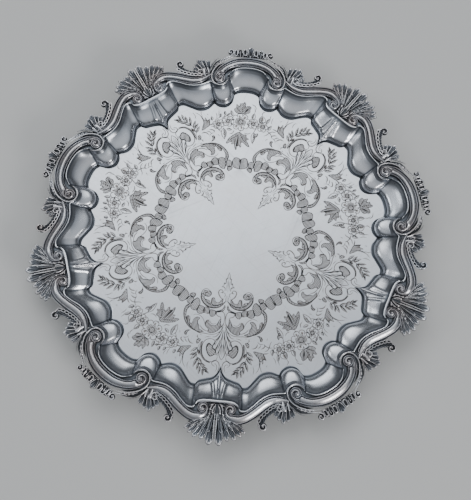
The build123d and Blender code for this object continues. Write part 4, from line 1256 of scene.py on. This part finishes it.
def makeFloor(outline):
    flat, faces, deep = engraveFloor(outline)
    n = len(flat)
    # the open edges in order round the floor
    runs = np.vstack([faces[:, [0, 1]], faces[:, [1, 2]], faces[:, [2, 0]]]).tolist()
    held = {tuple(run) for run in runs}
    following = {a: b for a, b in held if (b, a) not in held}
    loop = [next(iter(following))]
    while following[loop[-1]] != loop[0]:
        loop.append(following[loop[-1]])
    m = len(loop)
    corners = np.vstack([np.column_stack([flat, floorTop - engraver["depth"] * deep]),
                         np.column_stack([flat[loop], np.full(m, floorTop - traySizes["floorSheet"])])])
    # faces beside a groove are smooth, and the untouched sheet is flat
    longest = np.linalg.norm(flat[faces] - flat[np.roll(faces, 1, 1)], axis=2).max(1)
    smooth = ((deep[faces] > 0).any(1) & (longest < 1.6)).tolist() + [False] * (m + 1)
    faces = faces.tolist()
    faces += [(loop[(i + 1) % m], loop[i], n + i, n + (i + 1) % m) for i in range(m)]
    faces.append(tuple(range(n + m - 1, n - 1, -1)))
    # the grooves' depth also darkens their colour: tarnish in the cuts and painted shade of the V-cuts
    mesh = meshWithTarnishAndShade("trayFloor", corners, faces, np.concatenate([deep, np.zeros(m)]))
    mesh.materials.append(floorSilver)
    finishTray(place("trayFloor", mesh), 30, smooth)


makeFloor(makeWall())
print("tray made")

footSizes = {
    "root": salver["rimRadius"] - 38.3,    # distance of the leg's root from the salver's axis
    "width": 6.5, "strap": 3.3, "knee": (1.0, 10.1), "toe": (7.3, 4.1), "padReach": 6.0,
    "bracket": 15.0, "inner": 9.0, "outer": 5.0, "lobes": 7,
    # the leg's line outside its root, and height; then across the strap, and out of it
    "leg": [(1.3, 13.4), (3.4, 11.9), (4.7, 9.4), (3.0, 7.0), (2.0, 5.2), (3.8, 3.0), (6.9, 1.6)],
    "section": [
        (-1.0, -0.5), (-1.0, 0.5), (-0.84, 0.95), (-0.64, 1.0), (-0.46, 0.7), (-0.18, 0.75), (0.0, 1.1),
        (0.18, 0.75), (0.46, 0.7), (0.64, 1.0), (0.84, 0.95), (1.0, 0.5), (1.0, -0.5), (0.8, -0.95),
        (0.0, -0.85), (-0.8, -0.95),
    ],
    "roll": [
        (-3.9, 0.4), (-3.95, 0.9), (-3.5, 1.2), (-3.4, 1.6), (-3.75, 1.9), (-3.7, 2.3), (-3.2, 2.6),
        (-2.4, 2.5), (-1.2, 2.3), (0.0, 2.45), (1.2, 2.3), (2.4, 2.5), (3.2, 2.6), (3.7, 2.3), (3.75, 1.9),
        (3.4, 1.6), (3.5, 1.2), (3.95, 0.9), (3.9, 0.4),
    ],    # along the roll, and its radius
    "pad": [
        (3.9, 0.0), (4.2, 0.3), (4.2, 0.9), (3.9, 1.3), (3.4, 1.45), (3.1, 1.75), (2.2, 1.9), (0.6, 2.0),
    ],    # radius and height
    # how far in from the outline, height, how dark
    "bracketRows": [(0.0, 14.0, 0.5), (0.0, 13.4, 0.3), (0.35, 12.9, 0.1), (0.95, 12.7, 0.0),
                    (1.5, 12.85, 0.4), (1.9, 13.15, 0.7), (4.2, 12.9, 0.2)],
}


def foot():
    casting = Casting()
    f = footSizes
    line = through(f["leg"], 40)
    side = sidesOf(line)
    rows = []
    for (y, z), (ny, nz), s in zip(line, side, np.linspace(0, 1, 40)):
        wide = f["width"] / 2 * (1 - 0.16 * math.sin(math.pi * s))
        rows.append([(wide * x, f["root"] + y + ny * n * f["strap"] / 2, z + nz * n * f["strap"] / 2)
                     for x, n in f["section"]])
    # the grooves along the strap and the rolls' waists are darker
    grooved = [abs(abs(x) - 0.32) < 0.16 for x, n in f["section"]]
    casting.tube(rows, np.where(grooved, 0.7, 0.1)[None])
    turn = np.linspace(0, 2 * math.pi, 28, endpoint=False)
    for y, z in (f["knee"], f["toe"]):
        rows = [[(x, f["root"] + y + r * math.cos(a), z + r * math.sin(a)) for a in turn]
                for x, r in f["roll"]]
        casting.tube(rows, np.array([0.8 if 1.1 < r < 1.7 else 0.1 for x, r in f["roll"]])[:, None])
    rows = [[(r * math.cos(a), f["root"] + f["padReach"] + r * math.sin(a), z) for a in turn]
            for r, z in f["pad"]]
    casting.tube(rows, 0.1)
    rows = []
    for inset, z, tone in f["bracketRows"]:
        row = []
        for a in np.linspace(0, 2 * math.pi, 84, endpoint=False):
            radius, middle = f["outer"] - inset, 0
            if f["bracket"] * math.sin(a) <= f["inner"] - f["outer"]:
                radius = f["inner"] - inset + 0.45 * math.cos(2 * f["lobes"] * (a + math.pi / 2))
                middle = f["bracket"]
            row.append((radius * math.cos(a), f["root"] + 2.5 - middle + radius * math.sin(a), z))
        rows.append(row)
    casting.tube(rows, np.array([tone for inset, z, tone in f["bracketRows"]])[:, None])
    return casting


placeRound("footCast", foot(), footSilver, "foot")
print("feet made")

studio = {
    "floor": (0.72, 0.71, 0.69), "floorHalf": 3.0,
    # name, place, size, power, colour
    "panels": [
        ("backPanel", (-0.2, 0.95, 1.55), (1.6, 1.2), 9.0, (0.95, 0.98, 1.0)),
        ("sidePanel", (-1.25, 0.0, 1.3), (0.6, 0.4), 2.6, (0.93, 0.97, 1.0)),
        ("frontPanel", (1.15, -1.15, 1.0), (0.6, 0.45), 9.0, (1, 1, 1)),
    ],
    # light of the air, from level to straight up
    "sky": [(0.0, (0.05, 0.05, 0.055)), (0.45, (0.11, 0.12, 0.13)), (0.8, (0.5, 0.53, 0.57)),
            (1.0, (0.64, 0.67, 0.7))],
}
camera = {
    "place": (-3.5, -163.4, 594.8), "lens": 57.2,
    "look": (0.0105, 0.2548, -0.9673), "up": (-0.0974, 0.963, 0.2527),    # directions
}


def paleFloor():
    mesh = bpy.data.meshes.new("studioFloor")
    far = studio["floorHalf"]
    mesh.from_pydata([(-far, -far, 0), (far, -far, 0), (far, far, 0), (-far, far, 0)], [], [(0, 1, 2, 3)])
    material = bpy.data.materials.new("paleFloor")
    material.use_nodes = True
    surface = material.node_tree.nodes["Principled BSDF"]
    surface.inputs["Base Color"].default_value = (*studio["floor"], 1)
    surface.inputs["Roughness"].default_value = 0.8
    mesh.materials.append(material)
    place("studioFloor", mesh)


def panel(name, spot, size, power, colour):
    data = bpy.data.lights.new(name, "AREA")
    data.shape, data.size, data.size_y = "RECTANGLE", size[0], size[1]
    data.energy, data.color = power, colour
    light = place(name, data)
    light.location = spot
    light.rotation_euler = (-Vector(spot)).to_track_quat("-Z", "Y").to_euler()


def sky():
    world = bpy.data.worlds.new("studioAir")
    bpy.context.scene.world = world
    world.use_nodes = True
    tree = world.node_tree
    tree.nodes.clear()
    here = addNode(tree, "ShaderNodeTexCoord", output=0)
    up = addNode(tree, "ShaderNodeSeparateXYZ", {}, {0: here}, output=2)
    colour = addNode(tree, "ShaderNodeValToRGB", {"stops": studio["sky"]}, {0: up})
    air = addNode(tree, "ShaderNodeBackground", {}, {"Color": colour, "Strength": 1.0})
    addNode(tree, "ShaderNodeOutputWorld", {}, {"Surface": air})


def aimCamera():
    data = bpy.data.cameras.new("camera")
    data.lens, data.sensor_width, data.sensor_fit = camera["lens"], 36, "AUTO"
    data.clip_start, data.clip_end = 0.01, 20
    lens = place("camera", data)
    back = -Vector(camera["look"]).normalized()
    right = Vector(camera["up"]).cross(back).normalized()
    turn = Matrix((right, back.cross(right), back)).transposed().to_4x4()
    lens.matrix_world = Matrix.Translation(Vector(camera["place"]) * mm) @ turn
    bpy.context.scene.camera = lens


paleFloor()
for name, spot, size, power, colour in studio["panels"]:
    panel(name, spot, size, power, colour)
sky()
aimCamera()
